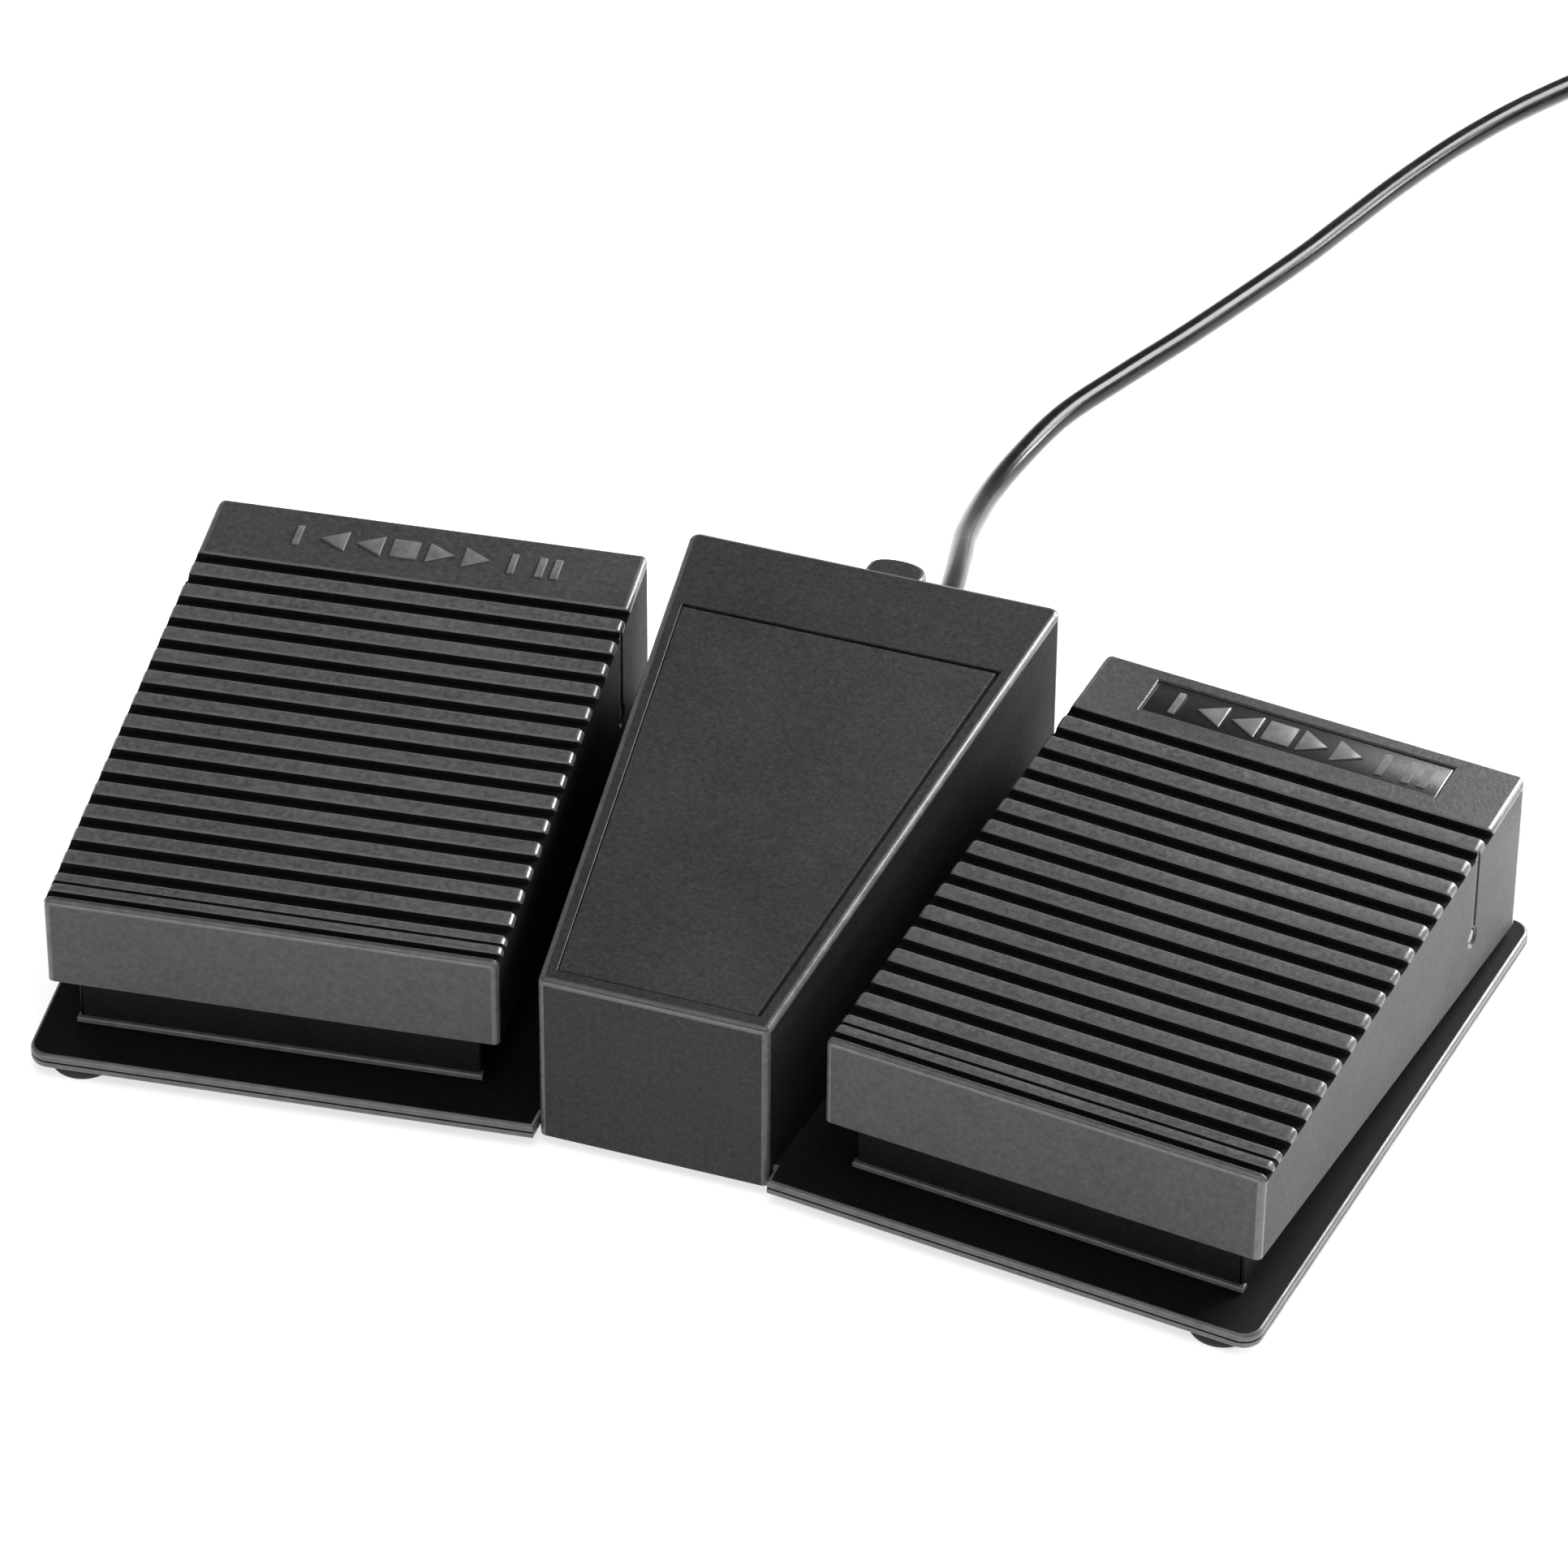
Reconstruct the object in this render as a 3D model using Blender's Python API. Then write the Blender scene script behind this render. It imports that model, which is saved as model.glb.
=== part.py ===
"""Two-pedal foot control of a dictation machine, in metres, +Z up.

Its origin is on the floor under the middle of the unit. -Y is the side that the operator's feet
come from. The pedals splay outwards towards the rear, on either side of a wedge-shaped housing
that holds the junction board and the cable entry.
"""

import math

import bmesh
import bpy
from mathutils import Matrix, Vector

# Heights above the floor.
FOOT_HEIGHT = 0.0025
BASE_THICKNESS = 0.00315
BASE_TOP = FOOT_HEIGHT + BASE_THICKNESS
GAP = 0.0003

# How far a cutter runs past the face it cuts, and how far an added piece sinks into its base.
OVERRUN = 0.0010

# Rubber feet, and the screws that come up from below with their heads sunk into the base plate.
FOOT_RADIUS = 0.0060
FOOT_STEM_RADIUS = 0.0024
FOOT_STEM_TOP = FOOT_HEIGHT + 0.0018
SINK_RADIUS = 0.0036
SINK_DEPTH = 0.0014

# Plan of the unit.
SPLAY = math.radians(7.0)
FRONT_Y = -0.0589
HOUSING_HALF_FRONT = 0.02265
HOUSING_LENGTH = 0.1278
HOUSING_TOP_FRONT = 0.0400
HOUSING_TOP_REAR = 0.0517
HOUSING_WALL = 0.0022
HOUSING_DECK = 0.0034
PANEL_FRONT = 0.0034
PANEL_REAR = 0.1065
PANEL_INSET = 0.0034
PANEL_THICKNESS = 0.0011
PANEL_RECESS = 0.0014
COWL_HALF_WIDTH = 0.0060
COWL_DEPTH = 0.0028

# A pedal's own frame: a runs outwards from its inner side, b backwards from its front face.
PEDAL_CORNER = (0.0322, FRONT_Y + 0.0043)
PEDAL_WIDTH = 0.0880
PEDAL_LENGTH = 0.1252
PEDAL_TOP_FRONT = 0.0373
PEDAL_TOP_REAR = 0.0427
SKIRT_BOTTOM_FRONT = 0.0180
SKIRT_BOTTOM_REAR = 0.0078
PEDAL_WALL = 0.0022
DECK_THICKNESS = 0.0034
GROOVE_COUNT = 15
GROOVE_PITCH = 0.00685
FIRST_GROOVE = 0.0102
GROOVE_TOP_WIDTH = 0.0028
GROOVE_FLOOR_WIDTH = 0.0018
GROOVE_DEPTH = 0.0012
LABEL_RECESS = ((0.0125, 0.1120), (0.0745, 0.1218))
LABEL_DEPTH = 0.0008

# Hinge pin, which the pedal turns on.
PIN_BACK = 0.1009
PIN_HEIGHT = 0.0209
PIN_RADIUS = 0.0015
PIN_HOLE_RADIUS = 0.0018
PIN_INSET = 0.0004

# Base plate, round the pedals.
RIM_FRONT = 0.0073
RIM_SIDE = 0.0028
RIM_REAR = 0.0028
BASE_CORNER_RADIUS = 0.0040

# Plinth that stands inside each pedal's skirt.
PLINTH_SIDE = 0.0047
PLINTH_FRONT = 0.0043
PLINTH_REAR = 0.1173
PLINTH_WALL = 0.0022
PLINTH_HEIGHT = 0.0220
PLINTH_BOSSES = {"front": (0.0775, 0.0105), "rear": (0.0105, 0.1120)}

# The housing's screw bosses, as (x, distance behind the front face).
HOUSING_BOSSES = {"front": (0, 0.0080), "rear_left": (-0.0250, 0.1180), "rear_right": (0.0250, 0.1180)}
BOSS_RADIUS = 0.0042
BOSS_HEIGHT = 0.0110
PILOT_RADIUS = 0.0016
PILOT_DEPTH = 0.0090
SCREW_LENGTH = 0.0070
SCREW_SHANK = 0.00125
SCREW_HEAD = 0.0030
SCREW_HEAD_HEIGHT = 0.0010

# Return spring, down stop and switch, in a pedal's frame.
SPRING_AT = (0.0440, 0.0300)
SPRING_RADIUS = 0.0054
SPRING_WIRE = 0.0006
SPRING_TOP = 0.0277
SPRING_TURNS = 7
SPRING_STUB_RADIUS = 0.0036
SPRING_STUB_HEIGHT = 0.0040
SPRING_POST_BOTTOM = 0.0245
SPRING_SEAT = 0.0283
SPRING_SEAT_RADIUS = 0.0065
SPRING_POST_TOP = 0.0360
DOWN_STOP_AT = (0.0440, 0.0140)
DOWN_STOP_TOP = 0.0102
DOWN_STOP_RADIUS = 0.0050
STOP_POST_BOTTOM = 0.0202
STOP_POST_RADIUS = 0.0030
UP_STOP_SPAN = (0.0240, 0.0640)
UP_STOP_BOTTOM = 0.0355
UP_STOP_TOP = 0.0384
UP_STOP_THICKNESS = 0.0025
SWITCH_LOW = (0.0240, 0.0620, 0.0075)
SWITCH_HIGH = (0.0304, 0.0820, 0.0175)
LEVER_PIVOT = (0.0272, 0.0800, 0.0183)
LEVER_LENGTH = 0.0172
LEVER_TILT = math.radians(15.0)
LEVER_THICKNESS = 0.0005
LEVER_HALF_WIDTH = 0.0020
PLUNGER_AT = (0.0272, 0.0760)
PLUNGER_HEIGHT = 0.0175
EAR_THICKNESS = 0.0009
EAR_HALF_LENGTH = 0.0012
TAB_BACK = (0.0030, 0.0100, 0.0170)
SWITCH_HOLE_IN = (0.0052, 0.0030)
BRACKET_THICKNESS = 0.0012
BRACKET_TOP = 0.0160
BRACKET_FOOT = 0.0100
ACTUATOR_BOTTOM = 0.0234
ACTUATOR_BACK = LEVER_PIVOT[1] - 0.0160
ACTUATOR_HALF = (0.0016, 0.0015)

# Junction board inside the housing.
BOARD_LOW = (-0.0140, FRONT_Y + 0.0340, 0.0103)
BOARD_HIGH = (0.0140, FRONT_Y + 0.0720, 0.0119)
BOARD_POSTS = ((-0.0100, FRONT_Y + 0.0380), (0.0100, FRONT_Y + 0.0680))
BOARD_MIDDLE = (BOARD_LOW[1] + BOARD_HIGH[1]) / 2
BOARD_POST_RADIUS = 0.0030
TERMINAL_HEIGHT = 0.0060
SMALL_HOLE = 0.0013
CLAMP_Y = FRONT_Y + 0.0960
CLAMP_HALF = 0.0030
LEAD_BACK = 0.0685
NOTCH_BACK = (0.0660, 0.0760)
NOTCH_HEIGHT = 0.0032
CLAMP_SCREW = (0.0106, CLAMP_Y)

# Cable: the exit through the rear wall, the route over the floor, and the stored coil.
CABLE_RADIUS = 0.0025
EXIT_X = 0.0036
EXIT_Z = 0.0205
CABLE_HOLE = 0.0040
REAR_Y = FRONT_Y + HOUSING_LENGTH
RELIEF_TIP = REAR_Y + 0.0270
CABLE_REST = CABLE_RADIUS + 0.0001
ROUTE = (
    (0.0036, 0.0966, 0.0205),
    (0.0036, 0.1010, 0.0203),
    (0.0033, 0.1080, 0.0182),
    (0.0020, 0.1170, 0.0128),
    (-0.0010, 0.1280, 0.0065),
    (-0.0046, 0.1390, 0.0031),
    (-0.0074, 0.1500, CABLE_REST),
    (-0.0080, 0.1640, CABLE_REST),
    (-0.0062, 0.1800, CABLE_REST),
    (-0.0014, 0.1980, CABLE_REST),
    (0.0060, 0.2160, CABLE_REST),
    (0.0140, 0.2340, CABLE_REST),
    (0.0222, 0.2540, CABLE_REST),
    (0.0292, 0.2720, CABLE_REST),
    (0.0350, 0.2890, CABLE_REST),
    (0.0415, 0.3080, CABLE_REST),
    (0.0500, 0.3290, CABLE_REST),
    (0.0610, 0.3500, CABLE_REST),
    (0.0755, 0.3705, CABLE_REST),
    (0.0920, 0.3825, CABLE_REST),
)
COIL_CENTRE = (0.1190, 0.3480)
COIL_RADIUS = 0.0295
COIL_HALF_WIDTH = 0.0100
COIL_LIFT = 0.0014
COIL_HEIGHT = 0.0101
COIL_BULGE = 0.0018
COIL_SIDES = 40
TIE_ANGLE = math.radians(-55.0)
TIE_HALF_WIDTH = 0.0030
TIE_STRAP = 0.0006
TIE_MARGIN = 0.0006
TAIL = (
    (0.1568, 0.3260, 0.0056),
    (0.1569, 0.3150, 0.0034),
    (0.1556, 0.3040, CABLE_REST),
    (0.1534, 0.2940, 0.0030),
    (0.1508, 0.2840, 0.0041),
)
PLUG_RADIUS = 0.0040
PLUG_LENGTH = 0.0240
PLUG_PIN_RADIUS = 0.00175
PLUG_PIN_LENGTH = 0.0140

ROUND_SIDES = 16
SMALL_SIDES = 12
SIDES = {"left": -1, "right": 1}


def clear_scene():
    """Remove the objects that the file opened with."""
    for old in list(bpy.data.objects):
        bpy.data.objects.remove(old, do_unlink=True)


def make_material(name, colour, roughness, metallic=0.0):
    """A Principled BSDF material."""
    material = bpy.data.materials.new(name)
    material.use_nodes = True
    shader = material.node_tree.nodes["Principled BSDF"]
    shader.inputs["Base Color"].default_value = (*colour, 1.0)
    shader.inputs["Roughness"].default_value = roughness
    shader.inputs["Metallic"].default_value = metallic
    return material


def link_mesh(name, bm, material=None, parent=None, smooth=False):
    """Turn a bmesh into an object whose faces point out."""
    bmesh.ops.recalc_face_normals(bm, faces=bm.faces)
    mesh = bpy.data.meshes.new(name)
    bm.to_mesh(mesh)
    bm.free()
    if smooth:
        mesh.shade_smooth()
        mesh.set_sharp_from_angle(angle=math.radians(40))
    return link_data(name, mesh, material, parent)


def link_data(name, data, material=None, parent=None):
    """Link an object for this mesh or curve, under its parent."""
    piece = bpy.data.objects.new(name, data)
    if material:
        data.materials.append(material)
    piece.parent = parent
    bpy.context.scene.collection.objects.link(piece)
    return piece


def helper(name, bm, parent=None):
    """An object that only cuts or adds to another one."""
    piece = link_mesh(name, bm, None, parent)
    piece.hide_render = True
    piece.display_type = "WIRE"
    return piece


def combine(piece, other, operation):
    """Add a Boolean that cuts the other object from this one, or joins it on."""
    modifier = piece.modifiers.new(other.name, "BOOLEAN")
    modifier.operation = operation
    modifier.solver = "EXACT"
    modifier.object = other


def add_prism(bm, outline, low, high, axis="Z"):
    """Extrude a closed outline along one axis, between two planes."""
    place = {
        "X": lambda point, depth: (depth, point[0], point[1]),
        "Y": lambda point, depth: (point[0], depth, point[1]),
        "Z": lambda point, depth: (point[0], point[1], depth),
    }[axis]
    ends = [[bm.verts.new(place(point, depth)) for point in outline] for depth in (low, high)]
    bm.faces.new(ends[0])
    bm.faces.new(ends[1])
    for index in range(len(outline)):
        after = (index + 1) % len(outline)
        bm.faces.new((ends[0][index], ends[0][after], ends[1][after], ends[1][index]))


def add_box(bm, low, high):
    """A box between two corners."""
    outline = ((low[0], low[1]), (high[0], low[1]), (high[0], high[1]), (low[0], high[1]))
    add_prism(bm, outline, low[2], high[2])


def add_turned(bm, profile, centre, axis="Z", sides=ROUND_SIDES):
    """Turn a profile of (radius, height) pairs, whose ends lie on the axis."""
    turn = {"X": Matrix.Rotation(math.pi / 2, 3, "Y"), "Y": Matrix.Rotation(-math.pi / 2, 3, "X")}
    matrix = turn.get(axis, Matrix.Identity(3))
    rings = []
    for radius, height in profile:
        steps = sides if radius > 0 else 1
        angles = [2 * math.pi * step / sides for step in range(steps)]
        points = [Vector((radius * math.cos(t), radius * math.sin(t), height)) for t in angles]
        rings.append([bm.verts.new(matrix @ point + Vector(centre)) for point in points])
    for lower, upper in zip(rings, rings[1:]):
        for step in range(sides):
            ahead = (step + 1) % sides
            corners = [
                lower[step % len(lower)],
                lower[ahead % len(lower)],
                upper[ahead % len(upper)],
                upper[step % len(upper)],
            ]
            bm.faces.new(list(dict.fromkeys(corners)))


def add_cylinder(bm, radius, centre, low, high, axis="Z", sides=ROUND_SIDES):
    """A cylinder along one axis, from low to high of the centre."""
    add_turned(bm, ((0, low), (radius, low), (radius, high), (0, high)), centre, axis, sides)


def add_screw(bm, centre, head_at, tip_at, head=SCREW_HEAD, shank=SCREW_SHANK, height=SCREW_HEAD_HEIGHT):
    """A pan-head screw along Z, whose head lies outside head_at and whose shank ends at tip_at."""
    outwards = math.copysign(1, head_at - tip_at)
    profile = [
        (0, head_at + outwards * height),
        (0.7 * head, head_at + outwards * height),
        (head, head_at + outwards * 0.4 * height),
        (head, head_at),
        (shank, head_at),
        (shank, tip_at),
        (0, tip_at),
    ]
    add_turned(bm, profile, centre, sides=SMALL_SIDES)


def pedal_point(side, a, b):
    """World x and y of a point in one pedal's frame."""
    x = PEDAL_CORNER[0] + a * math.cos(SPLAY) + b * math.sin(SPLAY)
    y = PEDAL_CORNER[1] - a * math.sin(SPLAY) + b * math.cos(SPLAY)
    return SIDES[side] * x, y


def side_frame(side):
    """An empty at the pedal's inner front corner, on the floor, turned with the pedal."""
    frame = bpy.data.objects.new(f"{side}_side_frame", None)
    frame.location = (*pedal_point(side, 0, 0), 0)
    frame.rotation_euler.z = -SIDES[side] * SPLAY
    bpy.context.scene.collection.objects.link(frame)
    return frame


def joint_frame(name, parent, a, b, z):
    """An empty on a joint's axis, inside a side frame."""
    frame = bpy.data.objects.new(name, None)
    frame.parent = parent
    frame.location = (a, b, z)
    bpy.context.scene.collection.objects.link(frame)
    return frame


def on_side(bm, side, origin=(0, 0, 0)):
    """Move a piece so that origin becomes its own zero, and mirror it for the left side."""
    for vertex in bm.verts:
        vertex.co = vertex.co - Vector(origin)
        vertex.co.x *= SIDES[side]
    return bm


def rounded_outline(corners, radius, steps=5):
    """Replace each corner that is flagged round by an arc."""
    outline = []
    for index, (x, y, is_round) in enumerate(corners):
        here = Vector((x, y))
        if not is_round:
            outline.append((x, y))
            continue
        before = (Vector(corners[index - 1][:2]) - here).normalized()
        after = (Vector(corners[(index + 1) % len(corners)][:2]) - here).normalized()
        half = before.angle(after) / 2
        centre = here + (before + after).normalized() * radius / math.sin(half)
        start = here + before * radius / math.tan(half) - centre
        end = here + after * radius / math.tan(half) - centre
        sweep = start.angle_signed(end)
        for step in range(steps + 1):
            # angle_signed counts a clockwise turn as positive, and Rotation counts it as negative.
            turned = Matrix.Rotation(-sweep * step / steps, 2) @ start
            outline.append(tuple(centre + turned))
    return outline


def base_outline():
    """Outline of the base plate: chevron front, straight middle rear."""
    front_corner = pedal_point("right", PEDAL_WIDTH + RIM_SIDE, -RIM_FRONT)
    rear_corner = pedal_point("right", PEDAL_WIDTH + RIM_SIDE, PEDAL_LENGTH + RIM_REAR)
    rear_inner = pedal_point("right", 0, PEDAL_LENGTH + RIM_REAR)
    front_inner = pedal_point("right", -0.0087, -RIM_FRONT)
    notch_y = FRONT_Y + HOUSING_WALL + GAP
    notch_x = half_width(HOUSING_WALL) + GAP
    right = [
        (notch_x, notch_y, False),
        (max(front_inner[0], notch_x), front_inner[1], False),
        (*front_corner, True),
        (*rear_corner, True),
        (*rear_inner, False),
    ]
    left = [(-x, y, is_round) for x, y, is_round in reversed(right)]
    return rounded_outline(right + left, BASE_CORNER_RADIUS)


def screw_places():
    """Name and world x and y of each screw that comes up through the base plate."""
    places = {f"housing_screw_{at}": (x, FRONT_Y + y) for at, (x, y) in HOUSING_BOSSES.items()}
    for side in SIDES:
        for at, (a, b) in PLINTH_BOSSES.items():
            places[f"{side}_plinth_screw_{at}"] = pedal_point(side, a, b)
    return places


def foot_places():
    """Name and world x and y of each rubber foot."""
    places = {}
    for side in SIDES:
        places[f"front_{side}"] = pedal_point(side, 0.0810, 0.0010)
        places[f"rear_{side}"] = pedal_point(side, 0.0810, 0.1200)
    return places


def make_base(plastic):
    """Base plate with its screw holes, foot holes, spring stubs and board posts."""
    bm = bmesh.new()
    add_prism(bm, base_outline(), FOOT_HEIGHT, BASE_TOP)
    base = link_mesh("base_plate", bm, plastic)
    studs = bmesh.new()
    sunk = BASE_TOP - OVERRUN
    for side in SIDES:
        spring = (*pedal_point(side, *SPRING_AT), 0)
        add_cylinder(studs, SPRING_STUB_RADIUS, spring, sunk, BASE_TOP + SPRING_STUB_HEIGHT)
    for x, y in BOARD_POSTS:
        add_cylinder(studs, BOARD_POST_RADIUS, (x, y, 0), sunk, BOARD_LOW[2] - GAP)
    combine(base, helper("base_studs", studs), "UNION")
    holes = bmesh.new()
    below, above = FOOT_HEIGHT - OVERRUN, BASE_TOP + OVERRUN
    sunk_hole = (
        (0, below),
        (SINK_RADIUS, below),
        (SINK_RADIUS, FOOT_HEIGHT + SINK_DEPTH),
        (PILOT_RADIUS, FOOT_HEIGHT + SINK_DEPTH),
        (PILOT_RADIUS, above),
        (0, above),
    )
    for x, y in screw_places().values():
        add_turned(holes, sunk_hole, (x, y, 0), sides=SMALL_SIDES)
    for x, y in foot_places().values():
        add_cylinder(holes, FOOT_STEM_RADIUS + GAP, (x, y, 0), below, FOOT_STEM_TOP + GAP, sides=SMALL_SIDES)
    for x, y in BOARD_POSTS:
        add_cylinder(holes, SMALL_HOLE, (x, y, 0), above, BOARD_LOW[2] + OVERRUN, sides=SMALL_SIDES)
    add_cylinder(holes, SMALL_HOLE, (*CLAMP_SCREW, 0), BASE_TOP - 0.0020, above, sides=SMALL_SIDES)
    combine(base, helper("base_holes", holes), "DIFFERENCE")
    return base


def make_feet(rubber):
    """Four rubber feet, each with a stem pressed into the base plate."""
    for place, (x, y) in foot_places().items():
        bm = bmesh.new()
        profile = (
            (0, 0),
            (FOOT_RADIUS - 0.0014, 0),
            (FOOT_RADIUS - 0.0004, 0.0010),
            (FOOT_RADIUS, FOOT_HEIGHT - GAP),
            (FOOT_STEM_RADIUS, FOOT_HEIGHT - GAP),
            (FOOT_STEM_RADIUS, FOOT_STEM_TOP),
            (0, FOOT_STEM_TOP),
        )
        add_turned(bm, profile, (x, y, 0), sides=20)
        link_mesh(f"foot_{place}", bm, rubber, smooth=True)


def make_base_screws(steel):
    """The screws that come up from below."""
    for name, (x, y) in screw_places().items():
        bm = bmesh.new()
        add_screw(bm, (x, y, 0), FOOT_HEIGHT + SINK_DEPTH - GAP, BASE_TOP + SCREW_LENGTH)
        link_mesh(name, bm, steel, smooth=True)


def half_width(y):
    """Half the housing's width, y metres behind its front face."""
    return HOUSING_HALF_FRONT + y * math.tan(SPLAY)


def housing_top(y):
    """Height of the housing's top, y metres behind its front face."""
    return HOUSING_TOP_FRONT + (HOUSING_TOP_REAR - HOUSING_TOP_FRONT) * y / HOUSING_LENGTH


def add_flared(bm, profile, inset=0.0):
    """Extrude a side view of (distance from the front, height) pairs as wide as the housing is there."""
    ends = [
        [bm.verts.new((sign * (half_width(y) - inset), FRONT_Y + y, z)) for y, z in profile]
        for sign in (-1, 1)
    ]
    bm.faces.new(ends[0])
    bm.faces.new(ends[1])
    for index in range(len(profile)):
        after = (index + 1) % len(profile)
        bm.faces.new((ends[0][index], ends[0][after], ends[1][after], ends[1][index]))


def slab(front, rear, bottom_drop, top_drop):
    """Side view of a layer of the housing's top, between two depths below it."""
    return [
        (front, housing_top(front) - bottom_drop),
        (front, housing_top(front) - top_drop),
        (rear, housing_top(rear) - top_drop),
        (rear, housing_top(rear) - bottom_drop),
    ]


def make_housing(plastic, panel_plastic):
    """Wedge-shaped shell with a lip in front, a cable cowl behind and an inlaid top panel."""
    bottom = BASE_TOP + GAP
    bm = bmesh.new()
    side_view = [
        (0, FOOT_HEIGHT),
        (0, HOUSING_TOP_FRONT),
        (HOUSING_LENGTH, HOUSING_TOP_REAR),
        (HOUSING_LENGTH, bottom),
        (HOUSING_WALL, bottom),
        (HOUSING_WALL, FOOT_HEIGHT),
    ]
    add_flared(bm, side_view)
    housing = link_mesh("centre_housing", bm, plastic)

    cowl = bmesh.new()
    outline = [(EXIT_X - COWL_HALF_WIDTH, REAR_Y - OVERRUN)]
    for step in range(7):
        angle = math.pi * (step + 0.5) / 7
        x = EXIT_X - COWL_HALF_WIDTH * math.cos(angle)
        outline.append((x, REAR_Y + COWL_DEPTH * math.sin(angle) ** 0.5))
    outline.append((EXIT_X + COWL_HALF_WIDTH, REAR_Y - OVERRUN))
    add_prism(cowl, outline, bottom + 2 * GAP, HOUSING_TOP_REAR - 4 * GAP)
    combine(housing, helper("housing_cowl", cowl), "UNION")

    recess = bmesh.new()
    add_flared(recess, slab(PANEL_FRONT, PANEL_REAR, PANEL_RECESS, -0.0050), PANEL_INSET - GAP)
    combine(housing, helper("housing_recess", recess), "DIFFERENCE")

    hollow = bmesh.new()
    front, rear = HOUSING_WALL, HOUSING_LENGTH - HOUSING_WALL
    roof = slab(front, rear, 0, HOUSING_DECK)[1:3]
    under = bottom - OVERRUN
    add_flared(hollow, [(front, under), *roof, (rear, under)], HOUSING_WALL)
    combine(housing, helper("housing_hollow", hollow), "DIFFERENCE")

    bosses = bmesh.new()
    for x, y in HOUSING_BOSSES.values():
        boss_top = housing_top(y) - HOUSING_DECK + OVERRUN
        add_cylinder(bosses, BOSS_RADIUS, (x, FRONT_Y + y, 0), bottom, boss_top, sides=SMALL_SIDES)
    combine(housing, helper("housing_bosses", bosses), "UNION")

    cuts = bmesh.new()
    for x, y in HOUSING_BOSSES.values():
        spot = (x, FRONT_Y + y, 0)
        add_cylinder(cuts, PILOT_RADIUS, spot, under, BASE_TOP + PILOT_DEPTH, sides=SMALL_SIDES)
    past_wall = HOUSING_WALL + COWL_DEPTH
    add_cylinder(cuts, CABLE_HOLE, (EXIT_X, REAR_Y, EXIT_Z), -past_wall, past_wall, axis="Y")
    past_sides = half_width(HOUSING_LENGTH)
    low = (-past_sides, FRONT_Y + NOTCH_BACK[0], under)
    add_box(cuts, low, (past_sides, FRONT_Y + NOTCH_BACK[1], bottom + NOTCH_HEIGHT))
    combine(housing, helper("housing_cuts", cuts), "DIFFERENCE")

    panel = bmesh.new()
    add_flared(panel, slab(PANEL_FRONT + GAP, PANEL_REAR - GAP, PANEL_THICKNESS, 0), PANEL_INSET)
    link_mesh("housing_top_panel", panel, panel_plastic)


def deck_top(b):
    """Height of a pedal's top, b metres behind its front face."""
    return PEDAL_TOP_FRONT + (PEDAL_TOP_REAR - PEDAL_TOP_FRONT) * b / PEDAL_LENGTH


def pedal_outline():
    """Side view of a pedal with its grooves, as (b, z) pairs."""
    outline = [(0, SKIRT_BOTTOM_FRONT), (0, PEDAL_TOP_FRONT)]
    for index in range(GROOVE_COUNT):
        middle = FIRST_GROOVE + index * GROOVE_PITCH
        for offset, depth in (
            (-GROOVE_TOP_WIDTH / 2, 0),
            (-GROOVE_FLOOR_WIDTH / 2, GROOVE_DEPTH),
            (GROOVE_FLOOR_WIDTH / 2, GROOVE_DEPTH),
            (GROOVE_TOP_WIDTH / 2, 0),
        ):
            outline.append((middle + offset, deck_top(middle + offset) - depth))
    outline += [(PEDAL_LENGTH, PEDAL_TOP_REAR), (PEDAL_LENGTH, SKIRT_BOTTOM_REAR)]
    return outline


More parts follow.
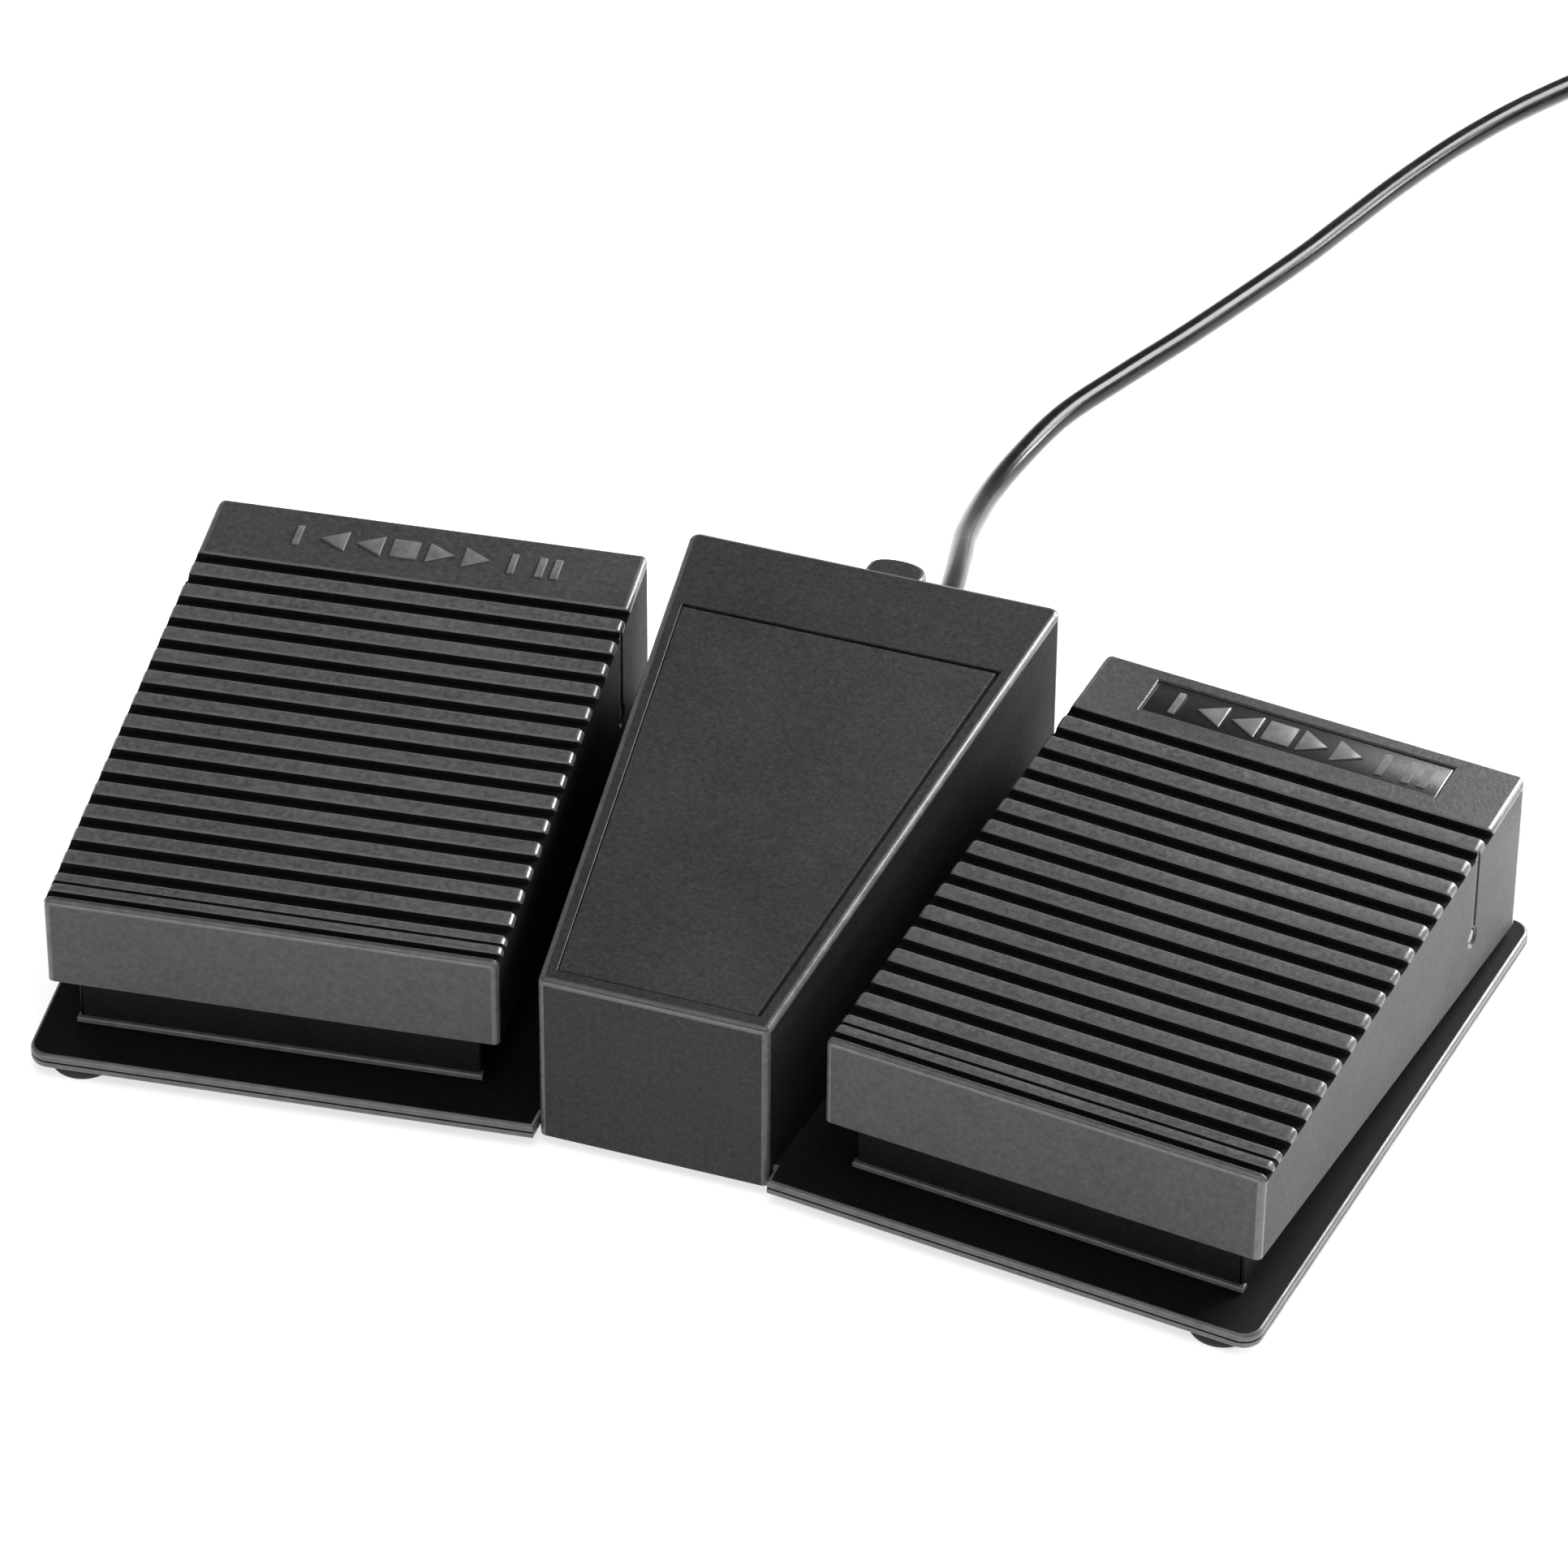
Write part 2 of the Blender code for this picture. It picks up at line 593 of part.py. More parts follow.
def make_pedal(side, frame, plastic):
    """Hollow wedge-shaped pedal, which turns on the pin near its rear."""
    pin = (0, PIN_BACK, PIN_HEIGHT)

    def ready(bm):
        return on_side(bm, side, pin)

    bm = bmesh.new()
    add_prism(bm, pedal_outline(), 0, PEDAL_WIDTH, "X")
    pedal = link_mesh(f"{side}_pedal", ready(bm), plastic, frame)

    hollow = bmesh.new()
    front = PEDAL_WALL
    rear = PEDAL_LENGTH - PEDAL_WALL
    roof = [(front, deck_top(front) - DECK_THICKNESS), (rear, deck_top(rear) - DECK_THICKNESS)]
    add_prism(hollow, [(front, 0), *roof, (rear, 0)], PEDAL_WALL, PEDAL_WIDTH - PEDAL_WALL, "X")
    combine(pedal, helper(f"{side}_pedal_hollow", ready(hollow), frame), "DIFFERENCE")

    posts = bmesh.new()
    spring_post = (
        (0, SPRING_POST_BOTTOM),
        (SPRING_STUB_RADIUS, SPRING_POST_BOTTOM),
        (SPRING_STUB_RADIUS, SPRING_SEAT),
        (SPRING_SEAT_RADIUS, SPRING_SEAT),
        (SPRING_SEAT_RADIUS, SPRING_POST_TOP),
        (0, SPRING_POST_TOP),
    )
    add_turned(posts, spring_post, (*SPRING_AT, 0))
    post_top = deck_top(0) - DECK_THICKNESS + OVERRUN
    add_cylinder(posts, STOP_POST_RADIUS, (*DOWN_STOP_AT, 0), STOP_POST_BOTTOM, post_top, sides=SMALL_SIDES)
    (a, b), (half_a, half_b) = (PLUNGER_AT[0], ACTUATOR_BACK), ACTUATOR_HALF
    top = deck_top(b) - DECK_THICKNESS + OVERRUN
    add_box(posts, (a - half_a, b - half_b, ACTUATOR_BOTTOM), (a + half_a, b + half_b, top))
    combine(pedal, helper(f"{side}_pedal_posts", ready(posts), frame), "UNION")

    holes = bmesh.new()
    add_cylinder(holes, PIN_HOLE_RADIUS, pin, -OVERRUN, PEDAL_WIDTH + OVERRUN, "X")
    if side == "right":
        (low_a, low_b), (high_a, high_b) = LABEL_RECESS
        floor = [(low_b, deck_top(low_b) - LABEL_DEPTH), (high_b, deck_top(high_b) - LABEL_DEPTH)]
        above = PEDAL_TOP_REAR + OVERRUN
        add_prism(holes, [floor[0], (low_b, above), (high_b, above), floor[1]], low_a, high_a, "X")
    combine(pedal, helper(f"{side}_pedal_holes", ready(holes), frame), "DIFFERENCE")


def make_label_plate(frame, plastic):
    """Thin plate inlaid in the rear band of the right pedal."""
    (low_a, low_b), (high_a, high_b) = LABEL_RECESS
    low_b, high_b = low_b + GAP, high_b - GAP
    bottom = LABEL_DEPTH - GAP
    top = 0.0001
    outline = [
        (low_b, deck_top(low_b) - bottom),
        (low_b, deck_top(low_b) - top),
        (high_b, deck_top(high_b) - top),
        (high_b, deck_top(high_b) - bottom),
    ]
    bm = bmesh.new()
    add_prism(bm, outline, low_a + GAP, high_a - GAP, "X")
    on_side(bm, "right", (0, PIN_BACK, PIN_HEIGHT))
    link_mesh("right_label_plate", bm, plastic, frame)


def make_plinth(side, frame, plastic):
    """Rectangular frame that stands on the base and carries the hinge pin."""
    bottom = BASE_TOP + GAP
    rear_top = 0.0352
    profile = [
        (PLINTH_FRONT, bottom),
        (PLINTH_FRONT, PLINTH_HEIGHT),
        (PIN_BACK - 0.0120, PLINTH_HEIGHT),
        (PIN_BACK - 0.0070, 0.0270),
        (PIN_BACK + 0.0070, 0.0290),
        (PLINTH_REAR - 0.0050, rear_top),
        (PLINTH_REAR, rear_top),
        (PLINTH_REAR, bottom),
    ]
    bm = bmesh.new()
    add_prism(bm, profile, PLINTH_SIDE, PEDAL_WIDTH - PLINTH_SIDE, "X")
    plinth = link_mesh(f"{side}_plinth", on_side(bm, side), plastic, frame)

    inside = bmesh.new()
    wall = PLINTH_WALL
    low = (PLINTH_SIDE + wall, PLINTH_FRONT + wall, 0)
    high = (PEDAL_WIDTH - PLINTH_SIDE - wall, PLINTH_REAR - wall, PEDAL_TOP_REAR)
    add_box(inside, low, high)
    combine(plinth, helper(f"{side}_plinth_inside", on_side(inside, side), frame), "DIFFERENCE")

    bosses = bmesh.new()
    for a, b in PLINTH_BOSSES.values():
        add_cylinder(bosses, BOSS_RADIUS, (a, b, 0), bottom, BASE_TOP + BOSS_HEIGHT, sides=SMALL_SIDES)
    combine(plinth, helper(f"{side}_plinth_bosses", on_side(bosses, side), frame), "UNION")

    holes = bmesh.new()
    under = bottom - OVERRUN
    for a, b in PLINTH_BOSSES.values():
        add_cylinder(holes, PILOT_RADIUS, (a, b, 0), under, BASE_TOP + PILOT_DEPTH, sides=SMALL_SIDES)
    pin = (0, PIN_BACK, PIN_HEIGHT)
    add_cylinder(holes, PIN_HOLE_RADIUS, pin, OVERRUN, PEDAL_WIDTH - OVERRUN, "X")
    low = (0, LEAD_BACK - CLAMP_HALF, under)
    add_box(holes, low, (SWITCH_LOW[0] - OVERRUN, LEAD_BACK + CLAMP_HALF, bottom + NOTCH_HEIGHT))
    combine(plinth, helper(f"{side}_plinth_holes", on_side(holes, side), frame), "DIFFERENCE")


def make_pin(side, frame, steel):
    """Steel pin through the pedal's skirts and the plinth's walls."""
    bm = bmesh.new()
    low, high = PIN_INSET, PEDAL_WIDTH - PIN_INSET
    add_cylinder(bm, PIN_RADIUS, (0, PIN_BACK, PIN_HEIGHT), low, high, "X")
    link_mesh(f"{side}_hinge_pin", on_side(bm, side), steel, frame, smooth=True)


def make_spring(side, frame, steel):
    """Helical compression spring between the base plate and the pedal."""
    low = BASE_TOP + GAP + SPRING_WIRE
    high = SPRING_TOP - SPRING_WIRE
    steps = SPRING_TURNS * SMALL_SIDES
    curve = bpy.data.curves.new(f"{side}_return_spring", "CURVE")
    curve.dimensions = "3D"
    curve.bevel_depth = SPRING_WIRE
    curve.bevel_resolution = 1
    curve.use_fill_caps = True
    spline = curve.splines.new("POLY")
    spline.points.add(steps)
    for step, point in enumerate(spline.points):
        share = step / steps
        angle = 2 * math.pi * SPRING_TURNS * share
        # The end turns lie nearly flat, as a ground spring's do.
        rise = share - math.sin(2 * math.pi * share) / (2 * math.pi) * 0.8
        a = SPRING_AT[0] + SPRING_RADIUS * math.cos(angle)
        b = SPRING_AT[1] + SPRING_RADIUS * math.sin(angle)
        point.co = (SIDES[side] * a, b, low + (high - low) * rise, 1)
    link_data(f"{side}_return_spring", curve, steel, frame)


def make_stops(side, frame, rubber):
    """Rubber pads that end the pedal's travel, down at the front and up at the rear."""
    bm = bmesh.new()
    add_cylinder(bm, DOWN_STOP_RADIUS, (*DOWN_STOP_AT, 0), BASE_TOP + GAP, DOWN_STOP_TOP)
    link_mesh(f"{side}_down_stop", on_side(bm, side), rubber, frame, smooth=True)
    bm = bmesh.new()
    rear = PLINTH_REAR - 0.0002
    low = (UP_STOP_SPAN[0], rear - UP_STOP_THICKNESS, UP_STOP_BOTTOM)
    add_box(bm, low, (UP_STOP_SPAN[1], rear, UP_STOP_TOP))
    link_mesh(f"{side}_up_stop", on_side(bm, side), rubber, frame)


def make_switch_body(side, frame, plastic, screw_spots):
    """Case of the microswitch, with ears for the lever and solder tabs below."""
    low, high = SWITCH_LOW, SWITCH_HIGH
    bm = bmesh.new()
    add_box(bm, low, high)
    body = link_mesh(f"{side}_switch_body", on_side(bm, side), plastic, frame)
    ears = bmesh.new()
    pivot_b, pivot_z = LEVER_PIVOT[1:]
    for start in (low[0], high[0] - EAR_THICKNESS):
        far_corner = (start + EAR_THICKNESS, pivot_b + EAR_HALF_LENGTH, pivot_z + OVERRUN)
        add_box(ears, (start, pivot_b - EAR_HALF_LENGTH, high[2] - OVERRUN), far_corner)
    middle = (low[0] + high[0]) / 2
    for back in TAB_BACK:
        b = low[1] + back
        far_corner = (middle + 0.0004, b + 0.0010, low[2] + OVERRUN)
        add_box(ears, (middle - 0.0004, b - 0.0010, low[2] - 2 * GAP), far_corner)
    combine(body, helper(f"{side}_switch_ears", on_side(ears, side), frame), "UNION")
    holes = bmesh.new()
    well = high[2] - 0.0025
    add_cylinder(holes, SMALL_HOLE, (*PLUNGER_AT, 0), well, high[2] + OVERRUN, sides=SMALL_SIDES)
    for b, z in screw_spots:
        past = (low[0] - OVERRUN, high[0] + OVERRUN)
        add_cylinder(holes, SMALL_HOLE, (0, b, z), *past, "X", sides=SMALL_SIDES)
    combine(body, helper(f"{side}_switch_holes", on_side(holes, side), frame), "DIFFERENCE")


def make_bracket(side, frame, steel, screw_spots):
    """Angle bracket beside the switch, and the two screws that hold the switch to it."""
    low, high = SWITCH_LOW, SWITCH_HIGH
    plate, bottom = high[0] + GAP, BASE_TOP + GAP
    outline = [
        (plate, bottom),
        (plate, BRACKET_TOP),
        (plate + BRACKET_THICKNESS, BRACKET_TOP),
        (plate + BRACKET_THICKNESS, bottom + BRACKET_THICKNESS),
        (plate + BRACKET_FOOT, bottom + BRACKET_THICKNESS),
        (plate + BRACKET_FOOT, bottom),
    ]
    bm = bmesh.new()
    add_prism(bm, outline, low[1] - 0.0010, high[1] + 0.0010, "Y")
    bracket = link_mesh(f"{side}_switch_bracket", on_side(bm, side), steel, frame)
    holes = bmesh.new()
    past = (plate - OVERRUN, plate + BRACKET_THICKNESS + OVERRUN)
    for b, z in screw_spots:
        add_cylinder(holes, SMALL_HOLE, (0, b, z), *past, "X", sides=SMALL_SIDES)
    combine(bracket, helper(f"{side}_bracket_holes", on_side(holes, side), frame), "DIFFERENCE")

    head, tip = low[0] - GAP, plate + BRACKET_THICKNESS + 0.0015
    profile = (
        (0, head - SCREW_HEAD_HEIGHT),
        (0.0019, head - SCREW_HEAD_HEIGHT),
        (0.0019, head),
        (0.0010, head),
        (0.0010, tip),
        (0, tip),
    )
    for at, (b, z) in zip(("front", "rear"), screw_spots):
        bm = bmesh.new()
        add_turned(bm, profile, (0, b, z), "X", sides=SMALL_SIDES)
        link_mesh(f"{side}_switch_screw_{at}", on_side(bm, side), steel, frame, smooth=True)


def make_plunger(side, frame, plastic):
    """The switch's push button."""
    place = (SIDES[side] * PLUNGER_AT[0], PLUNGER_AT[1], PLUNGER_HEIGHT)
    axis = joint_frame(f"{side}_plunger_axis", frame, *place)
    radius, top = 0.0010, 0.0013
    profile = ((0, -2 * GAP), (radius, -2 * GAP), (radius, top - GAP), (radius - 0.0004, top), (0, top))
    bm = bmesh.new()
    add_turned(bm, profile, (0, 0, 0), sides=SMALL_SIDES)
    link_mesh(f"{side}_switch_plunger", bm, plastic, axis, smooth=True)


def make_lever(side, frame, steel):
    """The switch's leaf lever, which climbs forwards from its pivot."""
    axis = joint_frame(f"{side}_lever_axis", frame, SIDES[side] * LEVER_PIVOT[0], *LEVER_PIVOT[1:])
    behind = 0.0008
    outline = []
    for along, across in ((behind, -0.5), (behind, 0.5), (-LEVER_LENGTH, 0.5), (-LEVER_LENGTH, -0.5)):
        across *= LEVER_THICKNESS
        y = along * math.cos(LEVER_TILT) + across * math.sin(LEVER_TILT)
        z = -along * math.sin(LEVER_TILT) + across * math.cos(LEVER_TILT)
        outline.append((y, z))
    bm = bmesh.new()
    add_prism(bm, outline, -LEVER_HALF_WIDTH, LEVER_HALF_WIDTH, "X")
    link_mesh(f"{side}_switch_lever", bm, steel, axis)


def make_switch(side, frame, palette):
    """Microswitch on its bracket, with its screws, plunger and lever."""
    from_end, up = SWITCH_HOLE_IN
    height = SWITCH_LOW[2] + up
    screw_spots = [(SWITCH_LOW[1] + from_end, height), (SWITCH_HIGH[1] - from_end, height)]
    make_switch_body(side, frame, palette["switch"], screw_spots)
    make_bracket(side, frame, palette["steel"], screw_spots)
    make_plunger(side, frame, palette["plunger"])
    make_lever(side, frame, palette["steel"])


def make_board(palette):
    """Junction board on its two posts, with its terminals, resistors and screws."""
    low, high = BOARD_LOW, BOARD_HIGH
    bm = bmesh.new()
    add_box(bm, low, high)
    board = link_mesh("junction_board", bm, palette["board"])
    holes = bmesh.new()
    for x, y in BOARD_POSTS:
        past = (low[2] - OVERRUN, high[2] + OVERRUN)
        add_cylinder(holes, PILOT_RADIUS, (x, y, 0), *past, sides=SMALL_SIDES)
    combine(board, helper("board_holes", holes), "DIFFERENCE")
    for at, (x, y) in zip(("front", "rear"), BOARD_POSTS):
        bm = bmesh.new()
        add_screw(bm, (x, y, 0), high[2] + GAP, BASE_TOP + 0.0020, 0.0024, 0.0010)
        link_mesh(f"board_screw_{at}", bm, palette["steel"], smooth=True)
    top = high[2] + GAP
    terminals = {
        "left": ((-0.0125, BOARD_MIDDLE - 0.0050), (-0.0075, BOARD_MIDDLE + 0.0050)),
        "right": ((0.0075, BOARD_MIDDLE - 0.0050), (0.0125, BOARD_MIDDLE + 0.0050)),
        "cable": ((-0.0060, high[1] - 0.0070), (0.0040, high[1] - 0.0010)),
    }
    for use, (corner, opposite) in terminals.items():
        bm = bmesh.new()
        add_box(bm, (*corner, top), (*opposite, top + TERMINAL_HEIGHT))
        link_mesh(f"{use}_terminal", bm, palette["terminal"])
    radius, half = 0.0011, 0.0031
    for side, sign in SIDES.items():
        bm = bmesh.new()
        add_cylinder(bm, radius, (sign * 0.0030, BOARD_MIDDLE, top + radius), -half, half, "Y", sides=10)
        link_mesh(f"{side}_resistor", bm, palette["resistor"], smooth=True)


def smooth_route(points, spacing):
    """Points at an even spacing along a smooth curve through the given ones."""
    knots = [Vector(point) for point in points]
    dense = []
    for index in range(len(knots) - 1):
        before = knots[max(index - 1, 0)]
        start, end = knots[index], knots[index + 1]
        after = knots[min(index + 2, len(knots) - 1)]
        out_slope, in_slope = (end - before) / 2, (after - start) / 2
        for step in range(24):
            t = step / 24
            dense.append(
                start * (2 * t**3 - 3 * t**2 + 1)
                + out_slope * (t**3 - 2 * t**2 + t)
                + end * (3 * t**2 - 2 * t**3)
                + in_slope * (t**3 - t**2)
            )
    dense.append(knots[-1])
    lengths = [0.0]
    for first, second in zip(dense, dense[1:]):
        lengths.append(lengths[-1] + (second - first).length)
    count = max(2, round(lengths[-1] / spacing))
    route, index = [], 0
    for step in range(count + 1):
        target = lengths[-1] * step / count
        while index < len(dense) - 2 and lengths[index + 1] < target:
            index += 1
        share = (target - lengths[index]) / (lengths[index + 1] - lengths[index])
        route.append(dense[index].lerp(dense[index + 1], share))
    return route


def make_tube(name, points, radius, spacing, material, resolution=2):
    """A round tube with closed ends, along a smooth route."""
    curve = bpy.data.curves.new(name, "CURVE")
    curve.dimensions = "3D"
    curve.bevel_depth = radius
    curve.bevel_resolution = resolution
    curve.use_fill_caps = True
    route = smooth_route(points, spacing)
    spline = curve.splines.new("POLY")
    spline.points.add(len(route) - 1)
    for point, place in zip(spline.points, route):
        point.co = (*place, 1)
    link_data(name, curve, material)


def make_switch_lead(side, insulation):
    """Two-core lead from the switch, under the skirts, to its terminal on the board."""
    height = BASE_TOP + 0.0014
    sign = SIDES[side]
    middle = BOARD_MIDDLE
    start_x, start_y = pedal_point(side, 0.0228, LEAD_BACK)
    wall_x, wall_y = pedal_point(side, 0.0010, LEAD_BACK)
    points = (
        (start_x, start_y, height),
        ((start_x + wall_x) / 2, (start_y + wall_y) / 2, height),
        (wall_x, wall_y, height),
        (sign * 0.0290, FRONT_Y + 0.0710, height),
        (sign * 0.0205, middle + 0.0020, height + 0.0010),
        (sign * 0.0165, middle, height + 0.0050),
        (sign * 0.0138, middle, BOARD_HIGH[2] + 0.0035),
    )
    make_tube(f"{side}_switch_lead", points, 0.0010, 0.0040, insulation)


def make_cable_entry(palette):
    """Strain relief, the cable's stretch inside the housing, and the clamp that holds it."""
    wall_in = REAR_Y - HOUSING_WALL - GAP
    profile = (
        (0, wall_in - 0.0015 - REAR_Y),
        (0.0056, wall_in - 0.0015 - REAR_Y),
        (0.0056, wall_in - REAR_Y),
        (0.0037, wall_in - REAR_Y),
        (0.0037, COWL_DEPTH + GAP),
        (0.0050, COWL_DEPTH + GAP),
        (0.0050, COWL_DEPTH + 0.0018),
        (0.0044, COWL_DEPTH + 0.0024),
        (0.0033, RELIEF_TIP - REAR_Y),
        (0, RELIEF_TIP - REAR_Y),
    )
    bm = bmesh.new()
    add_turned(bm, profile, (EXIT_X, REAR_Y, EXIT_Z), "Y")
    link_mesh("strain_relief", bm, palette["rubber"], smooth=True)

    inner_start = wall_in - 0.0015 - GAP
    inside = (
        (EXIT_X, inner_start, EXIT_Z),
        (EXIT_X, inner_start - 0.0040, EXIT_Z - 0.0006),
        (EXIT_X, inner_start - 0.0140, BASE_TOP + 0.0078),
        (EXIT_X, CLAMP_Y + 0.0080, BASE_TOP + 0.0036),
        (EXIT_X, CLAMP_Y + 0.0030, BASE_TOP + 0.0029),
        (EXIT_X, CLAMP_Y - 0.0030, BASE_TOP + 0.0029),
        (0.0026, CLAMP_Y - 0.0080, BASE_TOP + 0.0036),
        (-0.0002, BOARD_HIGH[1] + 0.0070, BOARD_HIGH[2] + 0.0010),
        (-0.0010, BOARD_HIGH[1] - 0.0004, BOARD_HIGH[2] + 0.0035),
    )
    make_tube("inner_cable", inside, 0.0022, 0.0030, palette["cable"])

    # The clamp arches over the cable, with its screwed foot on one side.
    low, arch = BASE_TOP + GAP, BASE_TOP + 0.0062
    outline = [
        (EXIT_X - 0.0038, low),
        (EXIT_X - 0.0036, arch + 0.0008),
        (EXIT_X - 0.0016, arch + 0.0016),
        (EXIT_X + 0.0016, arch + 0.0016),
        (EXIT_X + 0.0036, arch + 0.0008),
        (EXIT_X + 0.0040, low + 0.0014),
        (EXIT_X + 0.0100, low + 0.0014),
        (EXIT_X + 0.0100, low),
        (EXIT_X + 0.0027, low),
        (EXIT_X + 0.0027, arch),
        (EXIT_X - 0.0027, arch),
        (EXIT_X - 0.0027, low),
    ]
    bm = bmesh.new()
    add_prism(bm, outline, CLAMP_Y - CLAMP_HALF, CLAMP_Y + CLAMP_HALF, "Y")
    clamp = link_mesh("cable_clamp", bm, palette["clamp"])
    screw, hole = bmesh.new(), bmesh.new()
    spot = (*CLAMP_SCREW, 0)
    add_screw(screw, spot, low + 0.0014 + GAP, BASE_TOP - 0.0018, 0.0022, 0.0010)
    add_cylinder(hole, SMALL_HOLE, spot, low - OVERRUN, low + 0.0014 + OVERRUN, sides=SMALL_SIDES)
    combine(clamp, helper("clamp_hole", hole), "DIFFERENCE")
    link_mesh("clamp_screw", screw, palette["steel"], smooth=True)


def make_coil(palette):
    """The stored turns of the cable as one ring, and the tie that holds them."""
    inner, outer = COIL_RADIUS - COIL_HALF_WIDTH, COIL_RADIUS + COIL_HALF_WIDTH
    low, high = COIL_LIFT, COIL_LIFT + COIL_HEIGHT
    bulge = COIL_BULGE
    section = [
        (inner + bulge, low),
        (outer - bulge, low),
        (outer, low + bulge),
        (outer, high - bulge),
        (outer - bulge, high),
        (inner + bulge, high),
        (inner, high - bulge),
        (inner, low + bulge),
    ]
    bm = bmesh.new()
    rings = []
    for step in range(COIL_SIDES):
        angle = 2 * math.pi * step / COIL_SIDES
        x, y = math.cos(angle), math.sin(angle)
        rings.append([bm.verts.new((COIL_CENTRE[0] + r * x, COIL_CENTRE[1] + r * y, z)) for r, z in section])
    for step in range(COIL_SIDES):
        here, ahead = rings[step], rings[(step + 1) % COIL_SIDES]
        for index in range(len(section)):
            after = (index + 1) % len(section)
            bm.faces.new((here[index], here[after], ahead[after], ahead[index]))
    link_mesh("cable_coil", bm, palette["cable"], smooth=True)

    bm = bmesh.new()
    margin, strap, half = TIE_MARGIN, TIE_STRAP, TIE_HALF_WIDTH
    outline = [
        (inner - margin - strap, low - margin - strap),
        (outer + margin + strap, low - margin - strap),
        (outer + margin + strap, high + margin + strap),
        (inner - margin - strap, high + margin + strap),
    ]
    add_prism(bm, outline, -half, half, "Y")
    turn = Matrix.Translation((*COIL_CENTRE, 0)) @ Matrix.Rotation(TIE_ANGLE, 4, "Z")
    bmesh.ops.transform(bm, matrix=turn, verts=bm.verts)
    tie = link_mesh("cable_tie", bm, palette["tie"])
    window = bmesh.new()
    outline = [
        (inner - margin, low - margin),
        (outer + margin, low - margin),
        (outer + margin, high + margin),
        (inner - margin, high + margin),
    ]
    add_prism(window, outline, -2 * half, 2 * half, "Y")
    bmesh.ops.transform(window, matrix=turn, verts=window.verts)
    combine(tie, helper("tie_window", window), "DIFFERENCE")


def make_plug(palette):
    """Small round plug at the end of the tail, lying on the floor."""
    end, before = Vector(TAIL[-1]), Vector(TAIL[-2])
    heading = (end - before).to_2d().normalized()
    turn = Matrix.Translation((end.x, end.y, PLUG_RADIUS + 0.0001)) @ Matrix.Rotation(
        math.atan2(heading.y, heading.x), 4, "Z"
    )
    body = (
        (0, GAP),
        (0.0029, GAP),
        (0.0032, 0.0070),
        (PLUG_RADIUS, 0.0095),
        (PLUG_RADIUS, PLUG_LENGTH - 0.0008),
        (PLUG_RADIUS - 0.0006, PLUG_LENGTH),
        (0, PLUG_LENGTH),
    )
    pin_start = PLUG_LENGTH + GAP
    pin = (
        (0, pin_start),
        (PLUG_PIN_RADIUS, pin_start),
        (PLUG_PIN_RADIUS, pin_start + PLUG_PIN_LENGTH - 0.0034),
        (0.0012, pin_start + PLUG_PIN_LENGTH - 0.0028),
        (0.0016, pin_start + PLUG_PIN_LENGTH - 0.0016),
        (0.0006, pin_start + PLUG_PIN_LENGTH),
        (0, pin_start + PLUG_PIN_LENGTH),
    )
    for name, profile, material in (("plug_body", body, "cable"), ("plug_pin", pin, "nickel")):
        bm = bmesh.new()
        add_turned(bm, profile, (0, 0, 0), "X")
        bmesh.ops.transform(bm, matrix=turn, verts=bm.verts)
        link_mesh(name, bm, palette[material], smooth=True)


def make_palette():
    """Every material by its use."""
    return {
        "shell": make_material("housing_plastic", (0.045, 0.045, 0.048), 0.55),
        "panel": make_material("panel_plastic", (0.050, 0.050, 0.053), 0.60),
        "pedal": make_material("pedal_plastic", (0.060, 0.060, 0.063), 0.50),
        "base": make_material("base_plastic", (0.035, 0.035, 0.037), 0.55),
        "label": make_material("label_plastic", (0.020, 0.020, 0.021), 0.45),
        "rubber": make_material("black_rubber", (0.022, 0.022, 0.023), 0.80),
        "steel": make_material("plated_steel", (0.560, 0.560, 0.570), 0.35, 1.0),
        "nickel": make_material("nickel", (0.700, 0.680, 0.640), 0.20, 1.0),
        "switch": make_material("switch_plastic", (0.030, 0.030, 0.032), 0.45),
        "plunger": make_material("plunger_plastic", (0.550, 0.060, 0.040), 0.40),
        "board": make_material("board_laminate", (0.360, 0.200, 0.080), 0.50),
        "terminal": make_material("terminal_nylon", (0.720, 0.690, 0.600), 0.50),
        "resistor": make_material("resistor_coat", (0.620, 0.480, 0.300), 0.45),
        "clamp": make_material("clamp_nylon", (0.060, 0.060, 0.060), 0.50),
        "cable": make_material("cable_jacket", (0.012, 0.012, 0.013), 0.30),
        "wire": make_material("wire_insulation", (0.450, 0.050, 0.040), 0.40),
        "tie": make_material("tie_strap", (0.030, 0.030, 0.030), 0.90),
    }


def main():
    clear_scene()
    palette = make_palette()
    make_base(palette["base"])
    make_feet(palette["rubber"])
    make_base_screws(palette["steel"])
    make_housing(palette["shell"], palette["panel"])
    make_board(palette)
    make_cable_entry(palette)
    for side in SIDES:
        frame = side_frame(side)
        hinge = joint_frame(f"{side}_hinge_axis", frame, 0, PIN_BACK, PIN_HEIGHT)
        make_pedal(side, hinge, palette["pedal"])
        make_plinth(side, frame, palette["base"])
        make_pin(side, frame, palette["steel"])
        make_spring(side, frame, palette["steel"])
        make_stops(side, frame, palette["rubber"])
        make_switch(side, frame, palette)
        make_switch_lead(side, palette["wire"])
        if side == "right":
            make_label_plate(hinge, palette["label"])
    make_tube("cable", ROUTE, CABLE_RADIUS, 0.0120, palette["cable"])
    make_coil(palette)
    make_tube("cable_tail", TAIL, CABLE_RADIUS, 0.0120, palette["cable"])
    make_plug(palette)


main()
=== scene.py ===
"""Looks of the two-pedal foot control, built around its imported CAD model, in metres."""

import math

import bmesh
import bpy
from mathutils import Matrix, Vector


